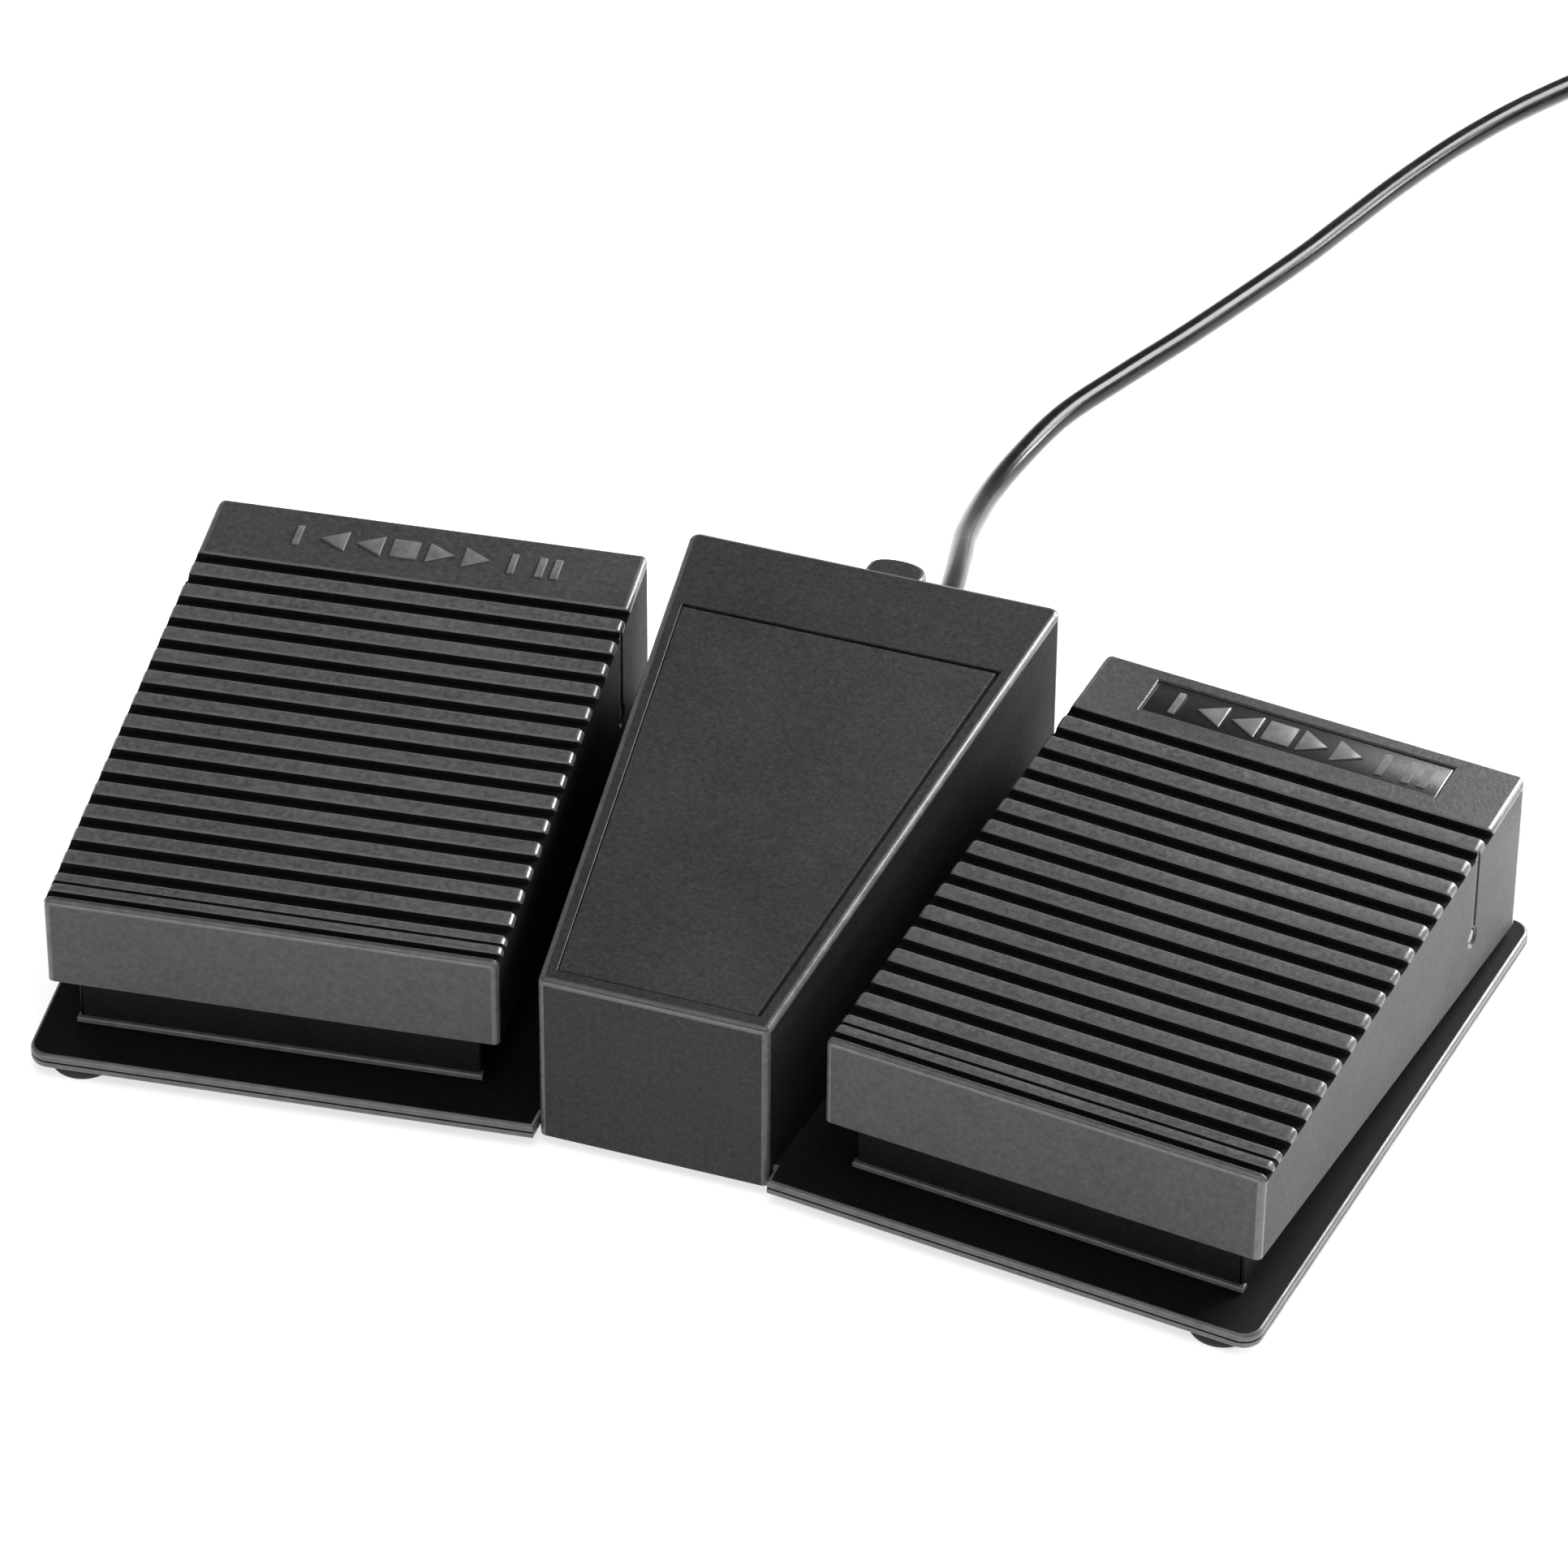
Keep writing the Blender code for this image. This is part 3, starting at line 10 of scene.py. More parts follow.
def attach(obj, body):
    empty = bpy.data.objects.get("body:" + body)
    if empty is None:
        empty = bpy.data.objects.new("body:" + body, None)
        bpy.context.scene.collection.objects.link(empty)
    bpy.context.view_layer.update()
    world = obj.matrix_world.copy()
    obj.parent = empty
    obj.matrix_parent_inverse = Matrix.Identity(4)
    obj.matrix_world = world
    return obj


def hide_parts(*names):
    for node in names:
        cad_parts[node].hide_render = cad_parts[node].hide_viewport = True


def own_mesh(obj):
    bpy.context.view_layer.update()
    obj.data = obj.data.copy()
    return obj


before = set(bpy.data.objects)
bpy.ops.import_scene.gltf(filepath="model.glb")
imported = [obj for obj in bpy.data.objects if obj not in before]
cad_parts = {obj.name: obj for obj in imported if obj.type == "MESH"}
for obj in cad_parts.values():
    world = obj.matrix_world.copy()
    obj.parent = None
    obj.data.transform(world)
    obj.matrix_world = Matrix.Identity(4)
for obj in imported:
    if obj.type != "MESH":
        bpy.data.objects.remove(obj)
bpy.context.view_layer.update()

# Dimensions that repeat the CAD model's.
FOOT_HEIGHT = 0.0025
BASE_TOP = 0.00565
GAP = 0.0003
SPLAY = math.radians(7.0)
FRONT_Y = -0.0589
HOUSING_HALF_FRONT = 0.02265
HOUSING_LENGTH = 0.1278
HOUSING_TOP_FRONT = 0.0400
HOUSING_TOP_REAR = 0.0517
HOUSING_WALL = 0.0022
HOUSING_DECK = 0.0034
PANEL_FRONT = 0.0034
PANEL_REAR = 0.1065
PANEL_INSET = 0.0034
PANEL_RECESS = 0.0014
COWL_HALF_WIDTH = 0.0060
COWL_DEPTH = 0.0028
HOOD_DEPTH = 0.0052
HOOD_START = 0.0360
HOOD_FULL = 0.0440
PEDAL_CORNER = (0.0322, FRONT_Y + 0.0043)
PEDAL_WIDTH = 0.0880
PEDAL_LENGTH = 0.1252
PEDAL_TOP_FRONT = 0.0373
PEDAL_TOP_REAR = 0.0427
SKIRT_FRONT = 0.0180
SKIRT_REAR = 0.0078
PEDAL_WALL = 0.0022
DECK_THICKNESS = 0.0034
GROOVE_COUNT = 15
GROOVE_PITCH = 0.00685
FIRST_GROOVE = 0.0102
LABEL_LOW = (0.0125, 0.1120)
LABEL_HIGH = (0.0745, 0.1218)
LABEL_DEPTH = 0.0008
PIN_BACK = 0.1009
PIN_HEIGHT = 0.0209
PIN_RADIUS = 0.0015
RIM_FRONT = 0.0073
RIM_SIDE = 0.0028
RIM_REAR = 0.0028
BASE_CORNER = 0.0040
PLINTH_SIDE = 0.0047
PLINTH_FRONT = 0.0043
PLINTH_REAR = 0.1173
PLINTH_WALL = 0.0022
PLINTH_HEIGHT = 0.0220
BOSS_RADIUS = 0.0042
PILOT_RADIUS = 0.0016
SCREW_SEAT = FOOT_HEIGHT + 0.0011
PLINTH_BOSSES = {"front": (0.0775, 0.0105), "rear": (0.0105, 0.1120)}
HOUSING_BOSSES = {"front": (0, 0.0080), "rear_left": (-0.0250, 0.1180), "rear_right": (0.0250, 0.1180)}
SPRING_AT = (0.0440, 0.0300)
SPRING_RADIUS = 0.0054
SPRING_WIRE = 0.0006
SPRING_TURNS = 7
SPRING_LOW = BASE_TOP + GAP
SPRING_TOP = 0.0277
DOWN_STOP_AT = (0.0440, 0.0140)
BOARD_TOP = 0.0119
BOARD_REAR = FRONT_Y + 0.0720
BOARD_SCREWS = {"front": (-0.0100, FRONT_Y + 0.0380), "rear": (0.0100, FRONT_Y + 0.0680)}
TERMINAL_Y = FRONT_Y + 0.0530
CLAMP_Y = FRONT_Y + 0.0960
EXIT_X = 0.0036
EXIT_Z = 0.0205
REAR_Y = FRONT_Y + HOUSING_LENGTH
RELIEF_TIP = REAR_Y + 0.0270
CABLE_RADIUS = 0.0025
CABLE_REST = CABLE_RADIUS + 0.0001
CABLE_LENGTH = 1.80
ROUTE = (
    (0.0036, 0.0966, 0.0205),
    (0.0036, 0.1010, 0.0202),
    (0.0029, 0.1078, 0.0190),
    (0.0013, 0.1165, 0.0171),
    (-0.0012, 0.1277, 0.0140),
    (-0.0038, 0.1390, 0.0105),
    (-0.0054, 0.1501, 0.0074),
    (-0.0064, 0.1641, 0.0043),
    (-0.0053, 0.1801, CABLE_REST),
    (-0.0014, 0.1980, CABLE_REST),
    (0.0060, 0.2160, CABLE_REST),
    (0.0140, 0.2340, CABLE_REST),
    (0.0222, 0.2540, CABLE_REST),
    (0.0292, 0.2720, CABLE_REST),
    (0.0350, 0.2890, CABLE_REST),
    (0.0415, 0.3080, CABLE_REST),
    (0.0500, 0.3290, CABLE_REST),
    (0.0610, 0.3500, CABLE_REST),
    (0.0755, 0.3705, CABLE_REST),
    (0.0920, 0.3825, CABLE_REST),
)
COIL_CENTRE = (0.1190, 0.3480)
COIL_OUTER = 0.0370
COIL_POINTS = 20
COIL_LIFT = 0.0014
COIL_HEIGHT = 0.0101
COIL_IN, COIL_OUT = 96.0, 4.0        # degrees round the coil where the cable joins and leaves it
COIL_APPROACH = 0.0068               # how far outside the coil the cable is before and after
TIE_ANGLE = math.radians(-55.0)
TAIL = (
    (0.1568, 0.3260, 0.0056),
    (0.1569, 0.3150, 0.0034),
    (0.1556, 0.3040, CABLE_REST),
    (0.1534, 0.2940, 0.0030),
    (0.1508, 0.2840, 0.0041),
)
PLUG_RADIUS = 0.0040
PLUG_LENGTH = 0.0240
PLUG_PIN_LENGTH = 0.0140
SIDES = {"left": -1, "right": 1}

# Moulding radii and other details that only the looks have.
END_RADIUS = 0.0013
FRONT_RADIUS = 0.0010
RIB_RADIUS = 0.00055
GROOVE_TOP = 0.0037
GROOVE_FLOOR = 0.0021
GROOVE_DEPTH = 0.0015
FRONT_GROOVE = (0.00255, 0.0021, 0.0010, 0.0010, 0.0004)
FAINT_GROOVE = (0.00585, 0.0010, 0.0004, 0.0004, 0.0002)
# Strip finishes: edges and rib tops take paler materials as painted highlights; grooves and inner sides take
# darker ones as painted shade.
BODY, EDGE_HIGHLIGHT, GROOVE_SHADE, RIB_HIGHLIGHT, SIDE, INNER_SIDE_SHADE = range(6)
RIB_CROWN = 0.00010
HOUSING_RADIUS = 0.0012
HOUSING_CORNER = 0.0024
REAR_SOFTNESS = 1.8
CARVED_SHARP = 32.0
TURNED_SHARP = 60.0
PAST = 0.001                         # how far a cutter runs past what it cuts


# ---------------------------------------------------------------- camera, floor and light


def link_object(name, data):
    """A new object in the scene."""
    made = bpy.data.objects.new(name, data)
    bpy.context.scene.collection.objects.link(made)
    return made


def make_camera():
    """Long lens, above and to the right of the front."""
    place, target = Vector((0.3881, -1.1116, 0.9611)), Vector((-0.0149, 0.0579, 0.0025))
    back = (place - target).normalized()
    right = Vector((0, 0, 1)).cross(back).normalized()
    up = back.cross(right)
    roll = math.radians(0.455)
    x_axis = math.cos(roll) * right + math.sin(roll) * up
    y_axis = math.cos(roll) * up - math.sin(roll) * right
    lens = bpy.data.cameras.new("camera")
    lens.lens = 180.86
    lens.sensor_width = 36.0
    lens.clip_end = 20.0
    camera = link_object("camera", lens)
    axes = Matrix((x_axis, y_axis, back)).transposed().to_4x4()
    camera.matrix_world = Matrix.Translation(place) @ axes
    bpy.context.scene.camera = camera


def area_light(name, place, target, width, height, power):
    """A softbox that faces its target."""
    data = bpy.data.lights.new(name, "AREA")
    data.shape = "RECTANGLE"
    data.size = width
    data.size_y = height
    data.energy = power
    light = link_object(name, data)
    light.location = place
    light.rotation_euler = (Vector(place) - Vector(target)).to_track_quat("Z", "Y").to_euler()


def make_world():
    """Pale studio walls that darken towards the ceiling."""
    world = bpy.data.worlds.new("studio")
    bpy.context.scene.world = world
    world.use_nodes = True
    nodes, links = world.node_tree.nodes, world.node_tree.links
    nodes.clear()
    where = nodes.new("ShaderNodeTexCoord")
    split = nodes.new("ShaderNodeSeparateXYZ")
    ramp = nodes.new("ShaderNodeValToRGB")
    sky = nodes.new("ShaderNodeBackground")
    out = nodes.new("ShaderNodeOutputWorld")
    ramp.color_ramp.elements[0].position = 0.05
    ramp.color_ramp.elements[0].color = (0.85, 0.85, 0.86, 1)
    ramp.color_ramp.elements[1].position = 0.45
    ramp.color_ramp.elements[1].color = (0.16, 0.16, 0.165, 1)
    links.new(where.outputs["Generated"], split.inputs[0])
    links.new(split.outputs["Z"], ramp.inputs["Fac"])
    links.new(ramp.outputs["Color"], sky.inputs["Color"])
    links.new(sky.outputs[0], out.inputs["Surface"])


def make_stage():
    """White floor, softboxes and the surroundings."""
    bm = bmesh.new()
    bmesh.ops.create_grid(bm, x_segments=2, y_segments=2, size=3.0)
    mesh = bpy.data.meshes.new("floor")
    bm.to_mesh(mesh)
    bm.free()
    floor = link_object("floor", mesh)
    material = bpy.data.materials.new("floor_paper")
    material.use_nodes = True
    shader = material.node_tree.nodes["Principled BSDF"]
    shader.inputs["Base Color"].default_value = (0.86, 0.86, 0.86, 1)
    shader.inputs["Roughness"].default_value = 0.9
    shader.inputs["Specular IOR Level"].default_value = 0.0
    shader.inputs["Emission Color"].default_value = (1, 1, 1, 1)
    shader.inputs["Emission Strength"].default_value = 0.62
    mesh.materials.append(material)
    make_world()
    area_light("overhead", (0.10, -0.45, 1.60), (0.0, 0.02, 0.0), 1.2, 1.2, 9.5)
    area_light("front_fill", (-0.15, -1.60, 0.42), (0.0, 0.0, 0.02), 1.4, 0.5, 9.0)
    area_light("right_rear", (0.30, 0.46, 0.38), (0.10, 0.02, 0.03), 0.32, 0.26, 7.2)
    area_light("edge_strip", (0.66, 0.76, 0.26), (0.04, 0.0, 0.03), 0.30, 0.16, 6.5)


# ---------------------------------------------------------------- materials


class Finish:
    """Builds one procedural material, with its nodes reading object coordinates."""

    def __init__(self, name, roughness, metallic=0.0, **sockets):
        self.material = bpy.data.materials.new(name)
        self.material.use_nodes = True
        self.nodes = self.material.node_tree.nodes
        self.links = self.material.node_tree.links
        self.shader = self.nodes["Principled BSDF"]
        self.shader.inputs["Roughness"].default_value = roughness
        self.shader.inputs["Metallic"].default_value = metallic
        for socket, value in sockets.items():
            self.shader.inputs[socket.replace("_", " ")].default_value = value
        self.place = self.nodes.new("ShaderNodeTexCoord").outputs["Object"]

    def node(self, kind, inputs, **settings):
        """A node with its settings, and its sockets given values or wired to fields."""
        node = self.nodes.new(f"ShaderNode{kind}")
        for name, value in settings.items():
            setattr(node, name, value)
        for socket, value in inputs.items():
            if isinstance(value, bpy.types.NodeSocket):
                self.links.new(value, node.inputs[socket])
            else:
                node.inputs[socket].default_value = value
        return node

    def noise(self, scale, detail=3.0, rough=0.55, stretch=None):
        """A noise field, in features per metre."""
        source = self.place
        if stretch:
            source = self.node("Mapping", {"Scale": stretch, "Vector": source}).outputs["Vector"]
        inputs = {"Scale": scale, "Detail": detail, "Roughness": rough, "Vector": source}
        return self.node("TexNoise", inputs).outputs["Fac"]

    def cells(self, scale):
        """Distance to the nearest of many scattered points."""
        return self.node("TexVoronoi", {"Scale": scale, "Vector": self.place}).outputs["Distance"]

    def bands(self, scale, direction):
        """Parallel waves along one axis."""
        inputs = {"Scale": scale, "Vector": self.place}
        return self.node("TexWave", inputs, bands_direction=direction).outputs["Fac"]

    def remap(self, field, low, high, out_low, out_high):
        """Stretch part of a field's range over another range, and hold it there."""
        inputs = {"From Min": low, "From Max": high, "To Min": out_low, "To Max": out_high, "Value": field}
        return self.node("MapRange", inputs).outputs["Result"]

    def product(self, first, second):
        """One field times another."""
        return self.node("Math", {0: first, 1: second}, operation="MULTIPLY").outputs[0]

    def colours(self, field, *stops):
        """Colour the surface by a field, through (position, colour) stops."""
        node = self.nodes.new("ShaderNodeValToRGB")
        ramp = node.color_ramp
        for element, (position, colour) in zip(ramp.elements, (stops[0], stops[-1])):
            element.position, element.color = position, (*colour, 1)
        for position, colour in stops[1:-1]:
            ramp.elements.new(position).color = (*colour, 1)
        self.links.new(field, node.inputs["Fac"])
        return node.outputs["Color"]

    def mix(self, share, first, second):
        """Blend two colours by a field."""
        return self.node("Mix", {"Factor": share, 6: first, 7: second}, data_type="RGBA").outputs[2]

    def bump(self, *layers):
        """Stack bumps, each a (field, distance in metres, strength)."""
        below = {}
        for field, distance, strength in layers:
            inputs = {"Distance": distance, "Strength": strength, "Height": field}
            below = {"Normal": self.node("Bump", {**inputs, **below}).outputs["Normal"]}
        self.set("Normal", below["Normal"])

    def set(self, socket, output):
        self.links.new(output, self.shader.inputs[socket])


def grey(value, warmth=0.0):
    """A near-neutral colour."""
    return (value * (1 + warmth), value, value * (1 + 0.05 - warmth))


def moulded(name, tone, roughness, grain, grain_depth, spread=0.25, gloss=0.5):
    """Fine-grained moulded plastic, with a spark-eroded grain and handling marks."""
    finish = Finish(name, roughness, Specular_IOR_Level=gloss)
    fine = finish.noise(grain, 4.0, 0.6)
    broad = finish.noise(38.0, 3.0)
    dark, light = tone * (1 - spread), tone * (1 + spread)
    blotches = finish.colours(broad, (0.30, grey(dark)), (0.70, grey(light)))
    coarse = finish.noise(grain * 0.6, 5.0, 0.75)
    flecks = finish.colours(coarse, (0.35, grey(dark)), (0.68, grey(light * 2.4)))
    half = finish.remap(fine, 0.3, 0.7, 0.25, 0.65)
    finish.set("Base Color", finish.mix(half, blotches, flecks))
    worn = finish.noise(22.0, 5.0)
    finish.set("Roughness", finish.remap(worn, 0.30, 0.70, roughness - 0.07, roughness + 0.07))
    finish.bump((finish.noise(9.0, 2.0), 0.0004, 0.10), (fine, grain_depth, 0.55))
    return finish.material


def paler_smoother_plastic(name, tone, roughness):
    """The same plastic, smoother and paler; on radii, edges and rims its paler tone is a painted highlight.
    """
    finish = Finish(name, roughness)
    field = finish.noise(420.0, 4.0, 0.6)
    finish.set("Base Color", finish.colours(field, (0.35, grey(tone * 0.85)), (0.65, grey(tone * 1.20))))
    finish.set("Roughness", finish.remap(finish.noise(160.0), 0.35, 0.65, roughness - 0.06, roughness + 0.08))
    finish.bump((finish.noise(1500.0), 0.00003, 0.35))
    return finish.material


def rubber(name, tone):
    """Matt rubber with a dusty bloom."""
    finish = Finish(name, 0.82, Specular_IOR_Level=0.35)
    dust = finish.noise(260.0, 5.0, 0.7)
    finish.set("Base Color", finish.colours(dust, (0.40, grey(tone)), (0.75, grey(tone * 1.9, 0.02))))
    finish.set("Roughness", finish.remap(dust, 0.3, 0.7, 0.74, 0.92))
    finish.bump((finish.noise(1900.0, 3.0), 0.00005, 0.5))
    return finish.material


def metal(name, colour, roughness, stretch=(1, 1, 1)):
    """Plated metal with fine drawing marks and a few dull patches."""
    finish = Finish(name, roughness, 1.0)
    patches = finish.noise(240.0, 4.0)
    dull = tuple(0.72 * c for c in colour)
    finish.set("Base Color", finish.colours(patches, (0.35, dull), (0.62, colour)))
    finish.set("Roughness", finish.remap(patches, 0.3, 0.7, roughness + 0.12, roughness - 0.05))
    finish.bump((finish.noise(2600.0, 2.0, 0.5, stretch), 0.00002, 0.4))
    return finish.material


def jacket():
    """Smooth extruded PVC, glossy, with slight drag lines and dust."""
    finish = Finish("cable_pvc", 0.22, Specular_IOR_Level=0.24)
    dust = finish.noise(310.0, 4.0, 0.7)
    finish.set("Base Color", finish.colours(dust, (0.45, grey(0.004)), (0.80, grey(0.012))))
    finish.set("Roughness", finish.remap(finish.noise(90.0, 4.0), 0.30, 0.72, 0.18, 0.27))
    finish.bump((finish.noise(700.0, 3.0), 0.00006, 0.30))
    return finish.material


def nylon(name, colour, roughness):
    """Translucent-looking moulded nylon."""
    finish = Finish(name, roughness)
    field = finish.noise(180.0, 4.0)
    pale = tuple(min(1.0, 1.15 * c) for c in colour)
    deep = tuple(0.82 * c for c in colour)
    finish.set("Base Color", finish.colours(field, (0.35, deep), (0.65, pale)))
    finish.set("Roughness", finish.remap(field, 0.3, 0.7, roughness - 0.06, roughness + 0.08))
    finish.bump((finish.noise(1300.0), 0.00004, 0.4))
    return finish.material


def laminate():
    """Brown circuit board with a weave and darker tracks."""
    finish = Finish("board_paper_laminate", 0.48)
    weave = finish.product(finish.bands(700.0, "X"), finish.bands(700.0, "Y"))
    tracks = finish.remap(finish.bands(48.0, "DIAGONAL"), 0.62, 0.70, 0.0, 1.0)
    ground = finish.colours(weave, (0.20, (0.26, 0.13, 0.045)), (0.80, (0.38, 0.21, 0.085)))
    copper = finish.colours(weave, (0, (0.13, 0.10, 0.03)), (1, (0.19, 0.14, 0.05)))
    finish.set("Base Color", finish.mix(tracks, ground, copper))
    finish.bump((weave, 0.00004, 0.5), (tracks, 0.00006, 0.6))
    return finish.material


def resistor_coat():
    """Tan lacquer with coloured bands across the body."""
    finish = Finish("resistor_lacquer", 0.35)
    waves = finish.bands(260.0, "Y")
    stops = (
        (0.00, (0.50, 0.36, 0.20)),
        (0.55, (0.55, 0.40, 0.22)),
        (0.62, (0.20, 0.05, 0.03)),
        (0.85, (0.34, 0.10, 0.03)),
        (1.00, (0.06, 0.03, 0.02)),
    )
    finish.set("Base Color", finish.colours(waves, *stops))
    finish.bump((finish.noise(900.0), 0.00005, 0.4))
    return finish.material


def strap_weave():
    """Hook-and-loop strap."""
    finish = Finish("strap_weave", 0.95, Sheen_Weight=0.35, Sheen_Roughness=0.4)
    loops = finish.cells(2600.0)
    finish.set("Base Color", finish.colours(loops, (0.10, grey(0.030)), (0.60, grey(0.010))))
    finish.bump((loops, 0.00020, 0.8), (finish.noise(900.0), 0.0001, 0.4))
    return finish.material


def make_palette():
    """Every finish by its use."""
    return {
        "pedal": moulded("pedal_moulding", 0.025, 0.42, 1300.0, 0.00014, 0.35),
        # Paler edge copy of the pedal plastic: painted highlight on its radii and groove rims.
        "pedal_edge_highlight": paler_smoother_plastic("pedal_moulding_edge_highlight", 0.085, 0.24),
        # Much darker copy of the pedal plastic for groove walls and floors: painted shade.
        "pedal_groove_shade": moulded("pedal_moulding_groove_shade", 0.0030, 0.75, 1500.0, 0.00010, 0.30, 0.08),
        # Smoother rib tops, as from wear, in a paler tone that is a painted highlight.
        "pedal_rib_highlight": moulded("pedal_moulding_worn_rib_highlight", 0.046, 0.31, 1300.0, 0.00012, 0.40, 0.60),
        "pedal_side": moulded("pedal_moulding_side", 0.018, 0.52, 1300.0, 0.00014, 0.35, 0.24),
        # Darkest copy, for faces in the narrow gaps between pedals and housing: painted shade.
        "inner_side_shade": moulded("inner_side_moulding_shade", 0.006, 0.60, 1400.0, 0.00012, 0.30, 0.10),
        "shell": moulded("housing_moulding", 0.0155, 0.47, 1500.0, 0.00014, 0.35, 0.20),
        # Paler edge copy of the housing plastic: painted highlight on its rounded edges.
        "shell_edge_highlight": paler_smoother_plastic("housing_moulding_edge_highlight", 0.070, 0.24),
        "panel": moulded("panel_moulding", 0.0185, 0.48, 1600.0, 0.00014, 0.35, 0.20),
        # Black base plastic, made far darker than the housing's: the extra darkness is painted shade.
        "base": moulded("base_moulding_shade", 0.0035, 0.60, 1500.0, 0.00010, 0.30, 0.10),
        # Paler edge copy of the base plastic: painted highlight on its rims and the plinth flange.
        "base_edge_highlight": paler_smoother_plastic("base_moulding_edge_highlight", 0.085, 0.30),
        "label": moulded("label_moulding", 0.007, 0.40, 1700.0, 0.00006, 0.25, 0.3),
        # Pale plastic for the symbols, also laid on the label plate's rim as a painted highlight.
        "mark_and_rim_highlight": paler_smoother_plastic("raised_mark_and_rim_highlight", 0.110, 0.30),
        "rubber": rubber("foot_rubber", 0.016),
        "steel": metal("zinc_plate", (0.60, 0.60, 0.61), 0.32),
        "spring": metal("spring_wire", (0.46, 0.46, 0.48), 0.26),
        "pin": metal("hinge_pin_steel", (0.30, 0.30, 0.31), 0.42),
        "nickel": metal("nickel_plate", (0.74, 0.71, 0.66), 0.16),
        "switch": moulded("switch_moulding", 0.022, 0.38, 1800.0, 0.00006, 0.2),
        "plunger": nylon("plunger_nylon", (0.52, 0.05, 0.035), 0.38),
        "board": laminate(),
        "terminal": nylon("terminal_nylon_white", (0.66, 0.63, 0.54), 0.46),
        "resistor": resistor_coat(),
        "clamp": nylon("clamp_nylon_black", (0.045, 0.045, 0.047), 0.46),
        "cable": jacket(),
        "wire": nylon("wire_pvc", (0.060, 0.058, 0.056), 0.34),
        "tie": strap_weave(),
    }


# ---------------------------------------------------------------- mesh tools


def pedal_point(side, a, b):
    """World x and y of a point in one pedal's frame."""
    x = PEDAL_CORNER[0] + a * math.cos(SPLAY) + b * math.sin(SPLAY)
    y = PEDAL_CORNER[1] - a * math.sin(SPLAY) + b * math.cos(SPLAY)
    return SIDES[side] * x, y


def pedal_matrix(side):
    """From a pedal's frame (a, b, z) to the world; the left one is mirrored."""
    sign = SIDES[side]
    x_of = (math.cos(SPLAY), math.sin(SPLAY))
    return Matrix((
        (sign * x_of[0], sign * x_of[1], 0, sign * PEDAL_CORNER[0]),
        (-x_of[1], x_of[0], 0, PEDAL_CORNER[1]),
        (0, 0, 1, 0),
        (0, 0, 0, 1),
    ))


def loop_faces(bm, low, high, index=0):
    """Quads between two closed rows of vertices."""
    for step in range(len(low)):
        ahead = (step + 1) % len(low)
        face = bm.faces.new((low[step], low[ahead], high[ahead], high[step]))
        face.material_index = index
        face.smooth = True


def flat_face(bm, verts, index=0):
    bm.faces.new(verts).material_index = index


def stack(bm, rows, finishes=0):
    """A closed solid through rows of vertices, with one finish or one for each strip."""
    flat_face(bm, rows[0])
    flat_face(bm, rows[-1])
    for step, (low, high) in enumerate(zip(rows, rows[1:])):
        loop_faces(bm, low, high, finishes if isinstance(finishes, int) else finishes[step])


def rectangle(low, high, spread=0.0):
    """Corners between two opposite ones, anticlockwise, moved outwards by spread."""
    (low_a, low_b), (high_a, high_b) = low, high
    return [
        (low_a - spread, low_b - spread),
        (high_a + spread, low_b - spread),
        (high_a + spread, high_b + spread),
        (low_a - spread, high_b + spread),
    ]


def add_box(bm, low, high):
    add_prism(bm, rectangle(low[:2], high[:2]), low[2], high[2])


def add_prism(bm, outline, low, high, axis="Z"):
    """Extrude a closed outline along one axis, between two planes."""
    place = {
        "X": lambda point, depth: (depth, point[0], point[1]),
        "Z": lambda point, depth: (point[0], point[1], depth),
    }[axis]
    stack(bm, [[bm.verts.new(place(point, depth)) for point in outline] for depth in (low, high)])


def rod(radius, low, high):
    """Profile of a plain round bar."""
    return [(0, low), (radius, low), (radius, high), (0, high)]


def add_turned(bm, profile, matrix, sides=48, index=0):
    """Turn (radius, height) pairs about Z and place the result; the ends lie on the axis."""
    rings = []
    for radius, height in profile:
        steps = sides if radius > 0 else 1
        angles = [2 * math.pi * step / sides for step in range(steps)]
        points = [Vector((radius * math.cos(t), radius * math.sin(t), height)) for t in angles]
        rings.append([bm.verts.new(matrix @ point) for point in points])
    for lower, upper in zip(rings, rings[1:]):
        for step in range(sides):
            ahead = (step + 1) % sides
            corners = (
                lower[step % len(lower)],
                lower[ahead % len(lower)],
                upper[ahead % len(upper)],
                upper[step % len(upper)],
            )
            face = bm.faces.new(list(dict.fromkeys(corners)))
            face.material_index = index
            face.smooth = True


def rounded(profile, radius, steps=4):
    """A turned profile with its corners away from the axis rounded off."""
    points = [Vector(p) for p in profile]
    out = [tuple(points[0])]
    for before, here, after in zip(points, points[1:], points[2:]):
        back, ahead = before - here, after - here
        reach = min(radius, 0.45 * back.length, 0.45 * ahead.length)
        start, end = here + back.normalized() * reach, here + ahead.normalized() * reach
        for step in range(steps + 1):
            t = step / steps
            out.append(tuple(start * (1 - t) ** 2 + here * 2 * t * (1 - t) + end * t**2))
    out.append(tuple(points[-1]))
    return out


def finish_bmesh(bm, matrix=None):
    """Weld, face outwards, and place."""
    bmesh.ops.remove_doubles(bm, verts=bm.verts, dist=1e-7)
    bmesh.ops.recalc_face_normals(bm, faces=bm.faces)
    if matrix:
        bmesh.ops.transform(bm, matrix=matrix, verts=bm.verts)
        if matrix.determinant() < 0:
            bmesh.ops.reverse_faces(bm, faces=bm.faces)
    return bm


def resmooth(mesh, sharp=CARVED_SHARP):
    mesh.shade_smooth()
    mesh.set_sharp_from_angle(angle=math.radians(sharp))


